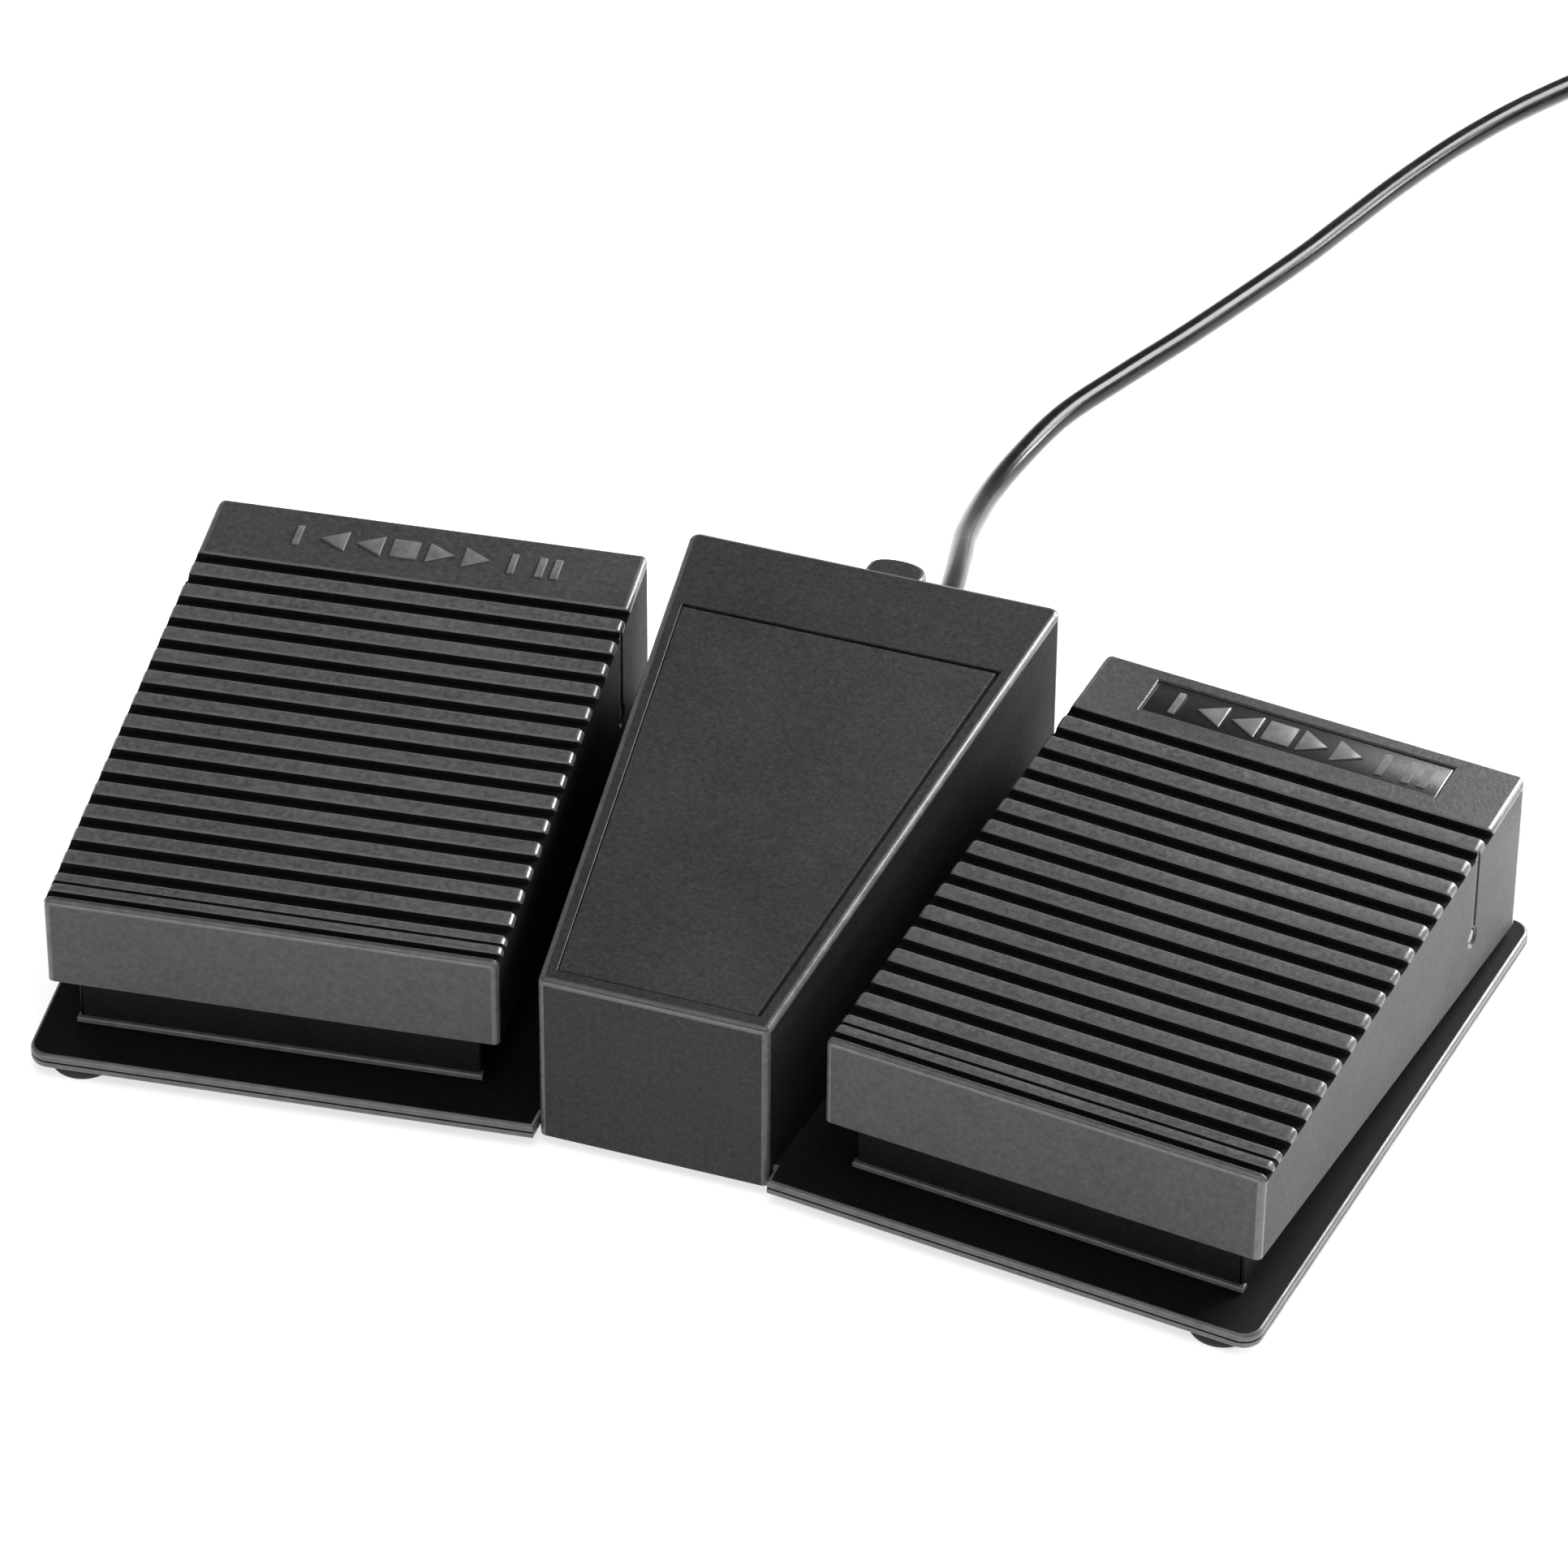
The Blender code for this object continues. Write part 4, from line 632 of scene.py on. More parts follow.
def to_object(name, bm, materials, sharp=35.0):
    """An object from a bmesh, smooth except at sharp edges."""
    mesh = bpy.data.meshes.new(name)
    bm.to_mesh(mesh)
    bm.free()
    for material in materials:
        mesh.materials.append(material)
    resmooth(mesh, sharp)
    return link_object(name, mesh)


def weigh_normals(piece):
    """Large flat faces keep their own normal, so that only the radii shade."""
    modifier = piece.modifiers.new("weighted", "WEIGHTED_NORMAL")
    modifier.keep_sharp = True
    modifier.weight = 80


def settle(piece, side=None):
    """Shade a carved piece, and move it from its pedal's frame to the world if it has one."""
    if side:
        piece.data.transform(pedal_matrix(side))
        if SIDES[side] < 0:
            piece.data.flip_normals()
    resmooth(piece.data)
    weigh_normals(piece)


def turned_piece(name, profile, matrix, sides, material, sharp=TURNED_SHARP, place=None):
    """One turned object."""
    bm = bmesh.new()
    add_turned(bm, profile, matrix, sides)
    return to_object(name, finish_bmesh(bm, place), [material], sharp)


def at_exit():
    """From a turned profile to the cable's exit, pointing rearwards."""
    return Matrix.Translation((EXIT_X, REAR_Y, EXIT_Z)) @ Matrix.Rotation(-math.pi / 2, 4, "X")


def at_hinge(a=0, sign=1):
    """From a turned profile to the hinge line in a pedal's frame."""
    return Matrix.Translation((a, PIN_BACK, PIN_HEIGHT)) @ Matrix.Rotation(sign * math.pi / 2, 4, "Y")


def install(piece, body, slot, *nodes):
    """Hang a piece on its body in place of CAD nodes."""
    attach(piece, body)
    if nodes:
        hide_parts(*nodes)
    return piece


def carve(piece, cutter, operation="DIFFERENCE"):
    """Cut another object from this one, or join it on, and keep only the result."""
    modifier = piece.modifiers.new("carve", "BOOLEAN")
    modifier.operation = operation
    modifier.solver = "EXACT"
    modifier.object = cutter
    bpy.context.view_layer.update()
    shaped = piece.evaluated_get(bpy.context.evaluated_depsgraph_get())
    mesh = bpy.data.meshes.new_from_object(shaped)
    piece.modifiers.clear()
    old, piece.data = piece.data, mesh
    mesh.name = old.name
    bpy.data.meshes.remove(old)
    bpy.data.objects.remove(cutter, do_unlink=True)


def bevel_edges(bm, chosen, radius, segments=3, index=1):
    """Round the chosen edges; the new faces take the given slot, by default the paler edge material, a
    painted highlight on the radii.
    """
    made = bmesh.ops.bevel(
        bm,
        geom=chosen,
        offset=radius,
        offset_type="OFFSET",
        segments=segments,
        profile=0.5,
        affect="EDGES",
        clamp_overlap=True,
    )
    for face in made["faces"]:
        face.material_index = index
        face.smooth = True


def sweep(name, points, radius, sides, materials):
    """A round tube along a line of points, with frames carried along it."""
    bm = bmesh.new()
    add_tube(bm, points, radius, sides)
    return to_object(name, finish_bmesh(bm), materials)


def add_tube(bm, points, radius, sides):
    """Add a tube along a line of points to a bmesh."""
    points = [Vector(p) for p in points]
    headings = []
    for index in range(len(points)):
        before, after = points[max(index - 1, 0)], points[min(index + 1, len(points) - 1)]
        headings.append((after - before).normalized())
    across = headings[0].orthogonal().normalized()
    rings = []
    for index, (point, heading) in enumerate(zip(points, headings)):
        if index:
            turn = headings[index - 1].rotation_difference(heading)
            across = (turn @ across).normalized()
        other = heading.cross(across)
        ring = []
        for step in range(sides):
            angle = 2 * math.pi * step / sides
            ring.append(bm.verts.new(point + radius * (math.cos(angle) * across + math.sin(angle) * other)))
        rings.append(ring)
    for low, high in zip(rings, rings[1:]):
        loop_faces(bm, low, high)
    flat_face(bm, rings[0])
    flat_face(bm, rings[-1])


def smooth_route(points, spacing):
    """Points at an even spacing along a smooth curve through the given ones."""
    knots = [Vector(point) for point in points]
    dense = []
    for index in range(len(knots) - 1):
        before = knots[max(index - 1, 0)]
        start, end = knots[index], knots[index + 1]
        after = knots[min(index + 2, len(knots) - 1)]
        out_slope, in_slope = (end - before) / 2, (after - start) / 2
        for step in range(24):
            t = step / 24
            dense.append(
                start * (2 * t**3 - 3 * t**2 + 1)
                + out_slope * (t**3 - 2 * t**2 + t)
                + end * (3 * t**2 - 2 * t**3)
                + in_slope * (t**3 - t**2)
            )
    dense.append(knots[-1])
    return even_points(dense, spacing)


def even_points(dense, spacing):
    """The same line with its points at an even spacing."""
    lengths = [0.0]
    for first, second in zip(dense, dense[1:]):
        lengths.append(lengths[-1] + (second - first).length)
    count = max(2, round(lengths[-1] / spacing))
    route, index = [], 0
    for step in range(count + 1):
        target = lengths[-1] * step / count
        while index < len(dense) - 2 and lengths[index + 1] < target:
            index += 1
        share = (target - lengths[index]) / (lengths[index + 1] - lengths[index])
        route.append(dense[index].lerp(dense[index + 1], share))
    return route


# ---------------------------------------------------------------- cable


def coil_points(turns):
    """The stored turns: down in a spiral from outside to inside, then up and out again."""
    low = COIL_LIFT + CABLE_RADIUS + 0.0001
    high = low + 2 * CABLE_RADIUS
    pitch = 2 * CABLE_RADIUS + 0.0001
    entry = math.radians(COIL_IN)
    sweep_angle = 2 * math.pi * turns + (entry - math.radians(COIL_OUT))
    half = sweep_angle / 2
    across = pitch / (2 * math.pi)
    points = []
    steps = round(turns * COIL_POINTS)
    for step in range(steps + 1):
        swept = sweep_angle * step / steps
        inward = swept if swept < half else sweep_angle - swept
        radius = COIL_OUTER - across * inward
        rise = min(1.0, max(0.0, (swept - half + 0.9) / 1.8))
        z = low + (high - low) * rise * rise * (3 - 2 * rise)
        angle = entry - swept
        x = COIL_CENTRE[0] + radius * math.cos(angle)
        points.append(Vector((x, COIL_CENTRE[1] + radius * math.sin(angle), z)))
    return points


def length_of(points):
    return sum((b - a).length for a, b in zip(points, points[1:]))


def cable_points():
    """The whole cable: over the floor, round the coil and out to the plug."""
    start = [Vector(point) for point in ROUTE]
    start[0] = Vector((EXIT_X, RELIEF_TIP - 0.0012, EXIT_Z))
    tail = [Vector(point) for point in TAIL]
    free = length_of(start) + length_of(tail) + 0.050
    mean_turn = 2 * math.pi * 0.0293
    turns = round((CABLE_LENGTH - free) / mean_turn - 0.3)
    coil = coil_points(turns)

    def beside(degrees, away, z):
        angle, radius = math.radians(degrees), COIL_OUTER + COIL_APPROACH * away
        return Vector((*COIL_CENTRE, 0)) + Vector((radius * math.cos(angle), radius * math.sin(angle), z))

    drop = TAIL[0][2] - coil[-1].z
    landing = [beside(COIL_OUT - 34.0 * t, t * t, coil[-1].z + drop * t * t) for t in (0.33, 0.66)]
    approach = [beside(COIL_IN + 16.0, 0.25, (CABLE_REST + coil[0].z) / 2)]
    return start + approach + coil + landing + tail


def make_cable(palette):
    """One curve for the cable's whole length."""
    points = smooth_route(cable_points(), 0.0035)
    curve = bpy.data.curves.new("cable_run", "CURVE")
    curve.dimensions = "3D"
    curve.bevel_depth = CABLE_RADIUS
    curve.bevel_resolution = 5
    curve.use_fill_caps = True
    spline = curve.splines.new("POLY")
    spline.points.add(len(points) - 1)
    for point, place in zip(spline.points, points):
        point.co = (*place, 1)
    spline.use_smooth = True
    curve.materials.append(palette["cable"])
    cable = link_object("cable_run", curve)
    return install(cable, "base", "cable_jacket", "cable", "cable_coil", "cable_tail")


def make_relief(palette):
    """Tapered, ribbed strain relief."""
    profile = [(0, COWL_DEPTH + GAP), (0.0050, COWL_DEPTH + GAP), (0.0050, COWL_DEPTH + 0.0020)]
    start, end = COWL_DEPTH + 0.0034, RELIEF_TIP - REAR_Y
    rings = 9
    for ring in range(rings):
        low = start + (end - start) * ring / rings
        high = low + (end - start) / rings
        outer = 0.0046 - 0.0012 * ring / (rings - 1)
        neck = outer - 0.0008
        span = high - low
        profile += [
            (neck, low),
            (neck, low + 0.30 * span),
            (outer, low + 0.38 * span),
            (outer - 0.0001, low + 0.98 * span),
        ]
    profile += [(0.0028, end), (0, end)]
    profile = rounded(profile, 0.0003, 3)
    relief = turned_piece("ribbed_strain_relief", profile, at_exit(), 40, palette["rubber"])
    return install(relief, "base", "black_rubber", "strain_relief")


def make_tie(palette):
    """Strap round the coil's bundle, with its end lapped over on top."""
    inner = 0.0295 - 0.0100 - 0.0004
    outer = 0.0295 + 0.0100 + 0.0004
    low, high = COIL_LIFT - 0.0005, COIL_LIFT + COIL_HEIGHT + 0.0004
    radius, thick, half = 0.0022, 0.0006, 0.0030
    corners = [
        (outer - radius, low + radius, -90),
        (outer - radius, high - radius, 0),
        (inner + radius, high - radius, 90),
        (inner + radius, low + radius, 180),
    ]
    line = []
    for x, z, start in corners:
        for step in range(7):
            angle = math.radians(start + 90 * step / 6)
            line.append((x + radius * math.cos(angle), z + radius * math.sin(angle), math.degrees(angle)))
    bm = bmesh.new()
    rows = []
    for x, z, angle in line:
        out = (math.cos(math.radians(angle)), math.sin(math.radians(angle)))
        row = []
        for depth, y in ((0, -half), (thick, -half + 0.0001), (thick, half - 0.0001), (0, half)):
            row.append(bm.verts.new((x + depth * out[0], y, z + depth * out[1])))
        rows.append(row)
    for index in range(len(rows)):
        loop_faces(bm, rows[index], rows[(index + 1) % len(rows)])
    lap = 0.0110
    add_box(bm, (outer - radius - lap, -half, high + thick), (outer - radius, half, high + thick + 0.0004))
    turn = Matrix.Translation((*COIL_CENTRE, 0)) @ Matrix.Rotation(TIE_ANGLE, 4, "Z")
    tie = to_object("coil_strap", finish_bmesh(bm, turn), [palette["tie"]])
    return install(tie, "base", "tie_strap", "cable_tie")


def make_plug(palette):
    """Moulded 3.5 mm plug, with grip rings, and its nickel pin with insulating rings."""
    end, before = Vector(TAIL[-1]), Vector(TAIL[-2])
    heading = (end - before).to_2d().normalized()
    turn = (
        Matrix.Translation((end.x, end.y, PLUG_RADIUS + 0.0001))
        @ Matrix.Rotation(math.atan2(heading.y, heading.x), 4, "Z")
        @ Matrix.Rotation(math.pi / 2, 4, "Y")
    )
    body = [(0, -0.0010), (0.0029, -0.0010)]
    for ring in range(4):
        start = 0.0006 + 0.0016 * ring
        body += [(0.0029, start), (0.0025, start + 0.0003)]
        body += [(0.0025, start + 0.0008), (0.0030, start + 0.0011)]
    body += [(0.0032, 0.0072), (PLUG_RADIUS, 0.0098)]
    for ring in range(5):
        start = 0.0120 + 0.0018 * ring
        body += [
            (PLUG_RADIUS, start),
            (PLUG_RADIUS - 0.00035, start + 0.0003),
            (PLUG_RADIUS - 0.00035, start + 0.0008),
            (PLUG_RADIUS, start + 0.0011),
        ]
    body += [(PLUG_RADIUS, PLUG_LENGTH - 0.0008), (PLUG_RADIUS - 0.0006, PLUG_LENGTH), (0, PLUG_LENGTH)]
    grip = turned_piece("plug_grip", rounded(body, 0.00025, 3), turn, 40, palette["shell"])
    install(grip, "base", "cable_jacket", "plug_body")
    start = PLUG_LENGTH - 0.0002
    tip = PLUG_LENGTH + GAP + PLUG_PIN_LENGTH
    shaft = [
        (0, start),
        (0.0023, start),
        (0.0023, start + 0.0010),
        (0.00175, start + 0.0012),
        (0.00175, tip - 0.0072),
        (0.00162, tip - 0.0071),
        (0.00162, tip - 0.0065),
        (0.00175, tip - 0.0064),
        (0.00175, tip - 0.0036),
        (0.00125, tip - 0.0028),
        (0.00160, tip - 0.0017),
        (0.00080, tip - 0.0002),
        (0, tip),
    ]
    pin = turned_piece("plug_contact", rounded(shaft, 0.0003, 3), turn, 32, palette["nickel"])
    install(pin, "base", "nickel", "plug_pin")
    return grip, pin


# ---------------------------------------------------------------- pedals


def deck_top(b):
    """Height of a pedal's top, b metres behind its front face."""
    return PEDAL_TOP_FRONT + (PEDAL_TOP_REAR - PEDAL_TOP_FRONT) * b / PEDAL_LENGTH


def skirt_bottom(b):
    return SKIRT_FRONT + (SKIRT_REAR - SKIRT_FRONT) * b / PEDAL_LENGTH


def arc(centre_b, centre_z, radius, start, end, steps):
    """Points on an arc, with angles in degrees from +b towards +z."""
    out = []
    for step in range(steps + 1):
        angle = math.radians(start + (end - start) * step / steps)
        out.append((centre_b + radius * math.cos(angle), centre_z + radius * math.sin(angle)))
    return out


def tagged(points, finish, last):
    """Points with the finish of the strip that starts at each; the last one's is given apart."""
    return [(b, z, finish) for b, z in points[:-1]] + [(*points[-1], last)]


def pedal_section(sunk):
    """Side view of the pedal's outside, pulled in by sunk near its two sides, with each strip's finish: paler
    radii and rib tops are painted highlights, darker grooves painted shade.
    """
    front_z = deck_top(0) - sunk
    rear_z = deck_top(PEDAL_LENGTH) - sunk
    points = [(sunk, skirt_bottom(sunk), BODY)]
    points += tagged(arc(sunk + FRONT_RADIUS, front_z - FRONT_RADIUS, FRONT_RADIUS, 180, 92, 5), EDGE_HIGHLIGHT, BODY)
    crown = RIB_CROWN if sunk == 0 else 0.0
    grooves = [FRONT_GROOVE, FAINT_GROOVE]
    for index in range(GROOVE_COUNT):
        middle = FIRST_GROOVE + index * GROOVE_PITCH
        grooves.append((middle, GROOVE_TOP, GROOVE_FLOOR, GROOVE_DEPTH, RIB_RADIUS))
    for index, (middle, top_width, floor_width, depth, radius) in enumerate(grooves):
        top_half = top_width / 2 + 0.30 * sunk
        floor_half = floor_width / 2 + 0.15 * sunk
        level = deck_top(middle) - sunk
        floor = deck_top(middle) - max(depth, sunk + 0.0001)
        lean = math.degrees(math.atan2(level - floor, top_half - floor_half))
        start = middle - top_half - 0.4 * radius
        points += tagged(arc(start, level - radius, radius, 90, 90 - lean, 4), EDGE_HIGHLIGHT, GROOVE_SHADE)
        for b, rise in ((-floor_half - 0.0001, 0.00010), (-0.7 * floor_half, 0), (0.7 * floor_half, 0)):
            points += [(middle + b, floor + rise, GROOVE_SHADE)]
        points += [(middle + floor_half + 0.0001, floor + 0.00010, GROOVE_SHADE)]
        end = middle + top_half + 0.4 * radius
        last = index == len(grooves) - 1
        points += tagged(arc(end, level - radius, radius, 90 + lean, 90, 4), EDGE_HIGHLIGHT, BODY if last else RIB_HIGHLIGHT)
        if not last:
            rib = (middle + grooves[index + 1][0]) / 2
            points += [(rib, deck_top(rib) - sunk + crown, RIB_HIGHLIGHT)]
    back = PEDAL_LENGTH - REAR_SOFTNESS * sunk
    rear = arc(back - FRONT_RADIUS, rear_z - FRONT_RADIUS, FRONT_RADIUS, 88, 0, 5)
    points += tagged(rear, EDGE_HIGHLIGHT, BODY)
    points += [(back, skirt_bottom(back), BODY)]
    return points


def pedal_shell_bmesh():
    """Outer skin, bottom rim and hollow inside of a pedal, in its own frame."""
    bm = bmesh.new()
    steps = 6
    spans = []
    for step in range(steps + 1):
        angle = math.pi / 2 * step / steps
        spans.append((END_RADIUS * (1 - math.cos(angle)), END_RADIUS * (1 - math.sin(angle))))
    spans = spans + [(PEDAL_WIDTH - a, sunk) for a, sunk in reversed(spans)]
    rows = []
    for a, sunk in spans:
        rows.append([bm.verts.new((a, b, z)) for b, z, finish in pedal_section(sunk)])
    finishes = [finish for b, z, finish in pedal_section(0)]
    for index, (low, high) in enumerate(zip(rows, rows[1:])):
        for step in range(len(low) - 1):
            face = bm.faces.new((low[step], low[step + 1], high[step + 1], high[step]))
            # End rounding faces outside the grooves take the paler edge material: painted highlight.
            at_end = index != steps and finishes[step] != GROOVE_SHADE
            face.material_index = EDGE_HIGHLIGHT if at_end else finishes[step]
            face.smooth = True
    # The inner end face, beside the housing, takes the darkest material: painted shade.
    flat_face(bm, rows[0], INNER_SIDE_SHADE)
    flat_face(bm, rows[-1], SIDE)

    outer = [row[0] for row in rows] + [row[-1] for row in reversed(rows)]
    low_limit, high_limit = PEDAL_WALL, PEDAL_LENGTH - PEDAL_WALL
    inner = []
    for vert in outer:
        a = min(max(vert.co.x, PEDAL_WALL), PEDAL_WIDTH - PEDAL_WALL)
        b = min(max(vert.co.y, low_limit), high_limit)
        inner.append(bm.verts.new((a, b, skirt_bottom(b))))
    loop_faces(bm, outer, inner)
    roof = [bm.verts.new((v.co.x, v.co.y, deck_top(v.co.y) - DECK_THICKNESS)) for v in inner]
    loop_faces(bm, inner, roof)
    flat_face(bm, roof)
    bmesh.ops.remove_doubles(bm, verts=bm.verts, dist=1e-7)
    bmesh.ops.dissolve_degenerate(bm, dist=1e-7, edges=bm.edges)
    return bm


def add_posts(bm):
    """Spring seat, stop post and switch actuator under the deck, with stiffening webs."""
    centre = Matrix.Translation((*SPRING_AT, 0))
    seat = [(0, 0.0245), (0.0036, 0.0245), (0.0036, 0.0283), (0.0065, 0.0283), (0.0065, 0.0360), (0, 0.0360)]
    add_turned(bm, rounded(seat, 0.0003, 2), centre, 32)
    stop = rod(0.0030, 0.0202, 0.0354)
    add_turned(bm, rounded(stop, 0.0003, 2), Matrix.Translation((*DOWN_STOP_AT, 0)), 28)
    add_box(bm, (0.0256, 0.0625, 0.0234), (0.0288, 0.0655, 0.0378))
    for a in (0.0120, 0.0350, 0.0530, 0.0760):
        outline = [(0.0060, 0.0325), (0.0060, 0.0352), (0.0880, 0.0380), (0.0880, 0.0366)]
        add_prism(bm, outline, a - 0.0006, a + 0.0006, "X")


def hinge_cutters(name):
    """What is cut from the pedal's sides at the hinge: a recess and the pin's hole."""
    bm = bmesh.new()
    for a, sign in ((0.0, 1), (PEDAL_WIDTH, -1)):
        hole = [(0, -0.002), (0.0024, -0.002), (0.0024, 0.0), (0.0019, 0.0005), (0.0018, 0.0006)]
        add_turned(bm, hole + [(0.0018, 0.006), (0, 0.006)], at_hinge(a, sign), 32)
    return to_object(name, finish_bmesh(bm), [])


def slot_cutter(name, a, sign):
    """Shallow lead-in slot from the deck's edge down to the hinge hole."""
    bm = bmesh.new()
    outer, inner = a - sign * 0.002, a + sign * 0.00028
    half = 0.0010
    outline = [
        (PIN_BACK - half, 0.0600),
        (PIN_BACK - half, PIN_HEIGHT),
        (PIN_BACK - 0.6 * half, PIN_HEIGHT - 0.0008),
        (PIN_BACK, PIN_HEIGHT - 0.0010),
        (PIN_BACK + 0.6 * half, PIN_HEIGHT - 0.0008),
        (PIN_BACK + half, PIN_HEIGHT),
        (PIN_BACK + half, 0.0600),
    ]
    add_prism(bm, outline, min(outer, inner), max(outer, inner), "X")
    return to_object(name, finish_bmesh(bm), [])


def label_rows(bm, levels):
    """Rows of vertices round the label plate's place, from (spread, depth below the deck) pairs."""
    outlines = [(rectangle(LABEL_LOW, LABEL_HIGH, spread), drop) for spread, drop in levels]
    return [[bm.verts.new((a, b, deck_top(b) - drop)) for a, b in corners] for corners, drop in outlines]


def recess_cutter():
    """Recess for the label plate, with slightly sloped walls."""
    bm = bmesh.new()
    stack(bm, label_rows(bm, ((0.0, LABEL_DEPTH), (0.0, 0.00025), (0.00025, 0.0), (0.00325, -0.003))))
    return to_object("recess_cutter", finish_bmesh(bm), [])


def make_pedal(side, palette):
    """Ribbed pedal shell."""
    uses = ("pedal", "pedal_edge_highlight", "pedal_groove_shade", "pedal_rib_highlight", "pedal_side", "inner_side_shade")
    materials = [palette[use] for use in uses]
    pedal = to_object(f"{side}_pedal_shell", finish_bmesh(pedal_shell_bmesh()), materials)
    posts = bmesh.new()
    add_posts(posts)
    carve(pedal, to_object("posts", finish_bmesh(posts), materials), "UNION")
    carve(pedal, slot_cutter("slot_outer", PEDAL_WIDTH, -1))
    carve(pedal, slot_cutter("slot_inner", 0.0, 1))
    carve(pedal, hinge_cutters("hinge_holes"))
    if side == "right":
        carve(pedal, recess_cutter())
    settle(pedal, side)
    return install(pedal, f"{side}_pedal", "pedal_plastic", f"{side}_pedal")


def triangle_mark(a, b, size, sign):
    base, point = a - sign * size * 0.45, a + sign * size * 0.45
    return [(base, b - size / 2), (point, b), (base, b + size / 2)]


def box_mark(a, b, width, height):
    return rectangle((a - width / 2, b - height / 2), (a + width / 2, b + height / 2))


def transport_marks(names, start, b, size, step):
    """Outlines of plain transport symbols in a row."""
    bar, square = 0.26 * size, 0.9 * size
    outlines = []
    for index, name in enumerate(names):
        a = start + index * step
        outlines += {
            "back": [triangle_mark(a, b, size, -1)],
            "forward": [triangle_mark(a, b, size, 1)],
            "stop": [box_mark(a, b, square, square)],
            "pause": [box_mark(a - bar, b, bar, size), box_mark(a + bar, b, bar, size)],
            "bar": [box_mark(a, b, size * 0.22, size)],
        }[name]
    return outlines


def raised_marks(name, side, outlines, base_drop, height, material):
    """Low symbols that stand on a pedal's rear band."""
    bm = bmesh.new()
    for outline in outlines:
        if side == "left":
            outline = [(PEDAL_WIDTH - a, b) for a, b in outline]
        middle_a = sum(a for a, b in outline) / len(outline)
        middle_b = sum(b for a, b in outline) / len(outline)
        rings = []
        for shrink, rise in ((1.0, -0.00015), (1.0, height * 0.6), (0.86, height)):
            ring = []
            for a, b in outline:
                a = middle_a + (a - middle_a) * shrink
                b = middle_b + (b - middle_b) * shrink
                ring.append(bm.verts.new((a, b, deck_top(b) - base_drop + rise)))
            rings.append(ring)
        stack(bm, rings)
    marks = to_object(name, finish_bmesh(bm, pedal_matrix(side)), [material])
    return install(marks, f"{side}_pedal", "label_plastic")


def make_label(palette):
    """Dark plate inlaid in the right pedal's rear band, its sloped rim pale as a painted highlight, and the
    symbols on it and on the left band.
    """
    bm = bmesh.new()
    # The plate's sloped rim takes the pale symbol material: painted highlight.
    stack(bm, label_rows(bm, ((-GAP, LABEL_DEPTH - GAP), (-GAP, 0.00045), (-GAP - 0.0002, 0.00032))), 1)
    finished = finish_bmesh(bm, pedal_matrix("right"))
    plate = to_object("label_plate", finished, [palette["label"], palette["mark_and_rim_highlight"]])
    install(plate, "right_pedal", "label_plastic", "right_label_plate")
    names = ("bar", "back", "back", "stop", "forward", "forward", "bar", "pause")
    row = (LABEL_LOW[1] + LABEL_HIGH[1]) / 2
    marks = transport_marks(names, LABEL_LOW[0] + 0.0060, row, 0.0064, 0.0072)
    raised_marks("right_symbols", "right", marks, 0.00032, 0.00040, palette["mark_and_rim_highlight"])
    marks = transport_marks(names, 0.0185, 0.1166, 0.0060, 0.0073)
    raised_marks("left_symbols", "left", marks, 0.0, 0.00040, palette["mark_and_rim_highlight"])


# ---------------------------------------------------------------- base, plinths and housing


def rounded_outline(corners, radius, steps=8):
    """Replace each corner that is flagged round by an arc."""
    outline = []
    for index, (x, y, is_round) in enumerate(corners):
        here = Vector((x, y))
        if not is_round:
            outline.append((x, y))
            continue
        before = (Vector(corners[index - 1][:2]) - here).normalized()
        after = (Vector(corners[(index + 1) % len(corners)][:2]) - here).normalized()
        half = before.angle(after) / 2
        centre = here + (before + after).normalized() * radius / math.sin(half)
        start = here + before * radius / math.tan(half) - centre
        end = here + after * radius / math.tan(half) - centre
        sweep_angle = start.angle_signed(end)
        for step in range(steps + 1):
            turned = Matrix.Rotation(-sweep_angle * step / steps, 2) @ start
            outline.append(tuple(centre + turned))
    return outline


def half_width(y):
    """Half the housing's width, y metres behind its front face."""
    return HOUSING_HALF_FRONT + y * math.tan(SPLAY)


def housing_top(y):
    return HOUSING_TOP_FRONT + (HOUSING_TOP_REAR - HOUSING_TOP_FRONT) * y / HOUSING_LENGTH


def base_outline():
    """Outline of the base plate: chevron front, straight middle rear."""
    front_corner = pedal_point("right", PEDAL_WIDTH + RIM_SIDE, -RIM_FRONT)
    rear_corner = pedal_point("right", PEDAL_WIDTH + RIM_SIDE, PEDAL_LENGTH + RIM_REAR)
    rear_inner = pedal_point("right", 0, PEDAL_LENGTH + RIM_REAR)
    front_inner = pedal_point("right", -0.0087, -RIM_FRONT)
    notch_y = FRONT_Y + HOUSING_WALL + GAP
    notch_x = half_width(HOUSING_WALL) + GAP
    right = [
        (notch_x, notch_y, False),
        (max(front_inner[0], notch_x), front_inner[1], False),
        (*front_corner, True),
        (*rear_corner, True),
        (*rear_inner, False),
    ]
    left = [(-x, y, is_round) for x, y, is_round in reversed(right)]
    return rounded_outline(right + left, BASE_CORNER)


def inset_outline(outline, distance):
    """The same outline, moved inwards; it runs anticlockwise."""
    moved = []
    for index, point in enumerate(outline):
        here = Vector(point)
        before = (here - Vector(outline[index - 1])).normalized()
        after = (Vector(outline[(index + 1) % len(outline)]) - here).normalized()
        inward = (before + after).orthogonal().normalized()
        shift = distance / max(0.5, inward.dot(after.orthogonal()))
        moved.append(tuple(here + inward * shift))
    return moved


def screw_places():
    places = {f"housing_screw_{at}": (x, FRONT_Y + y) for at, (x, y) in HOUSING_BOSSES.items()}
    for side in SIDES:
        for at, (a, b) in PLINTH_BOSSES.items():
            places[f"{side}_plinth_screw_{at}"] = pedal_point(side, a, b)
    return places


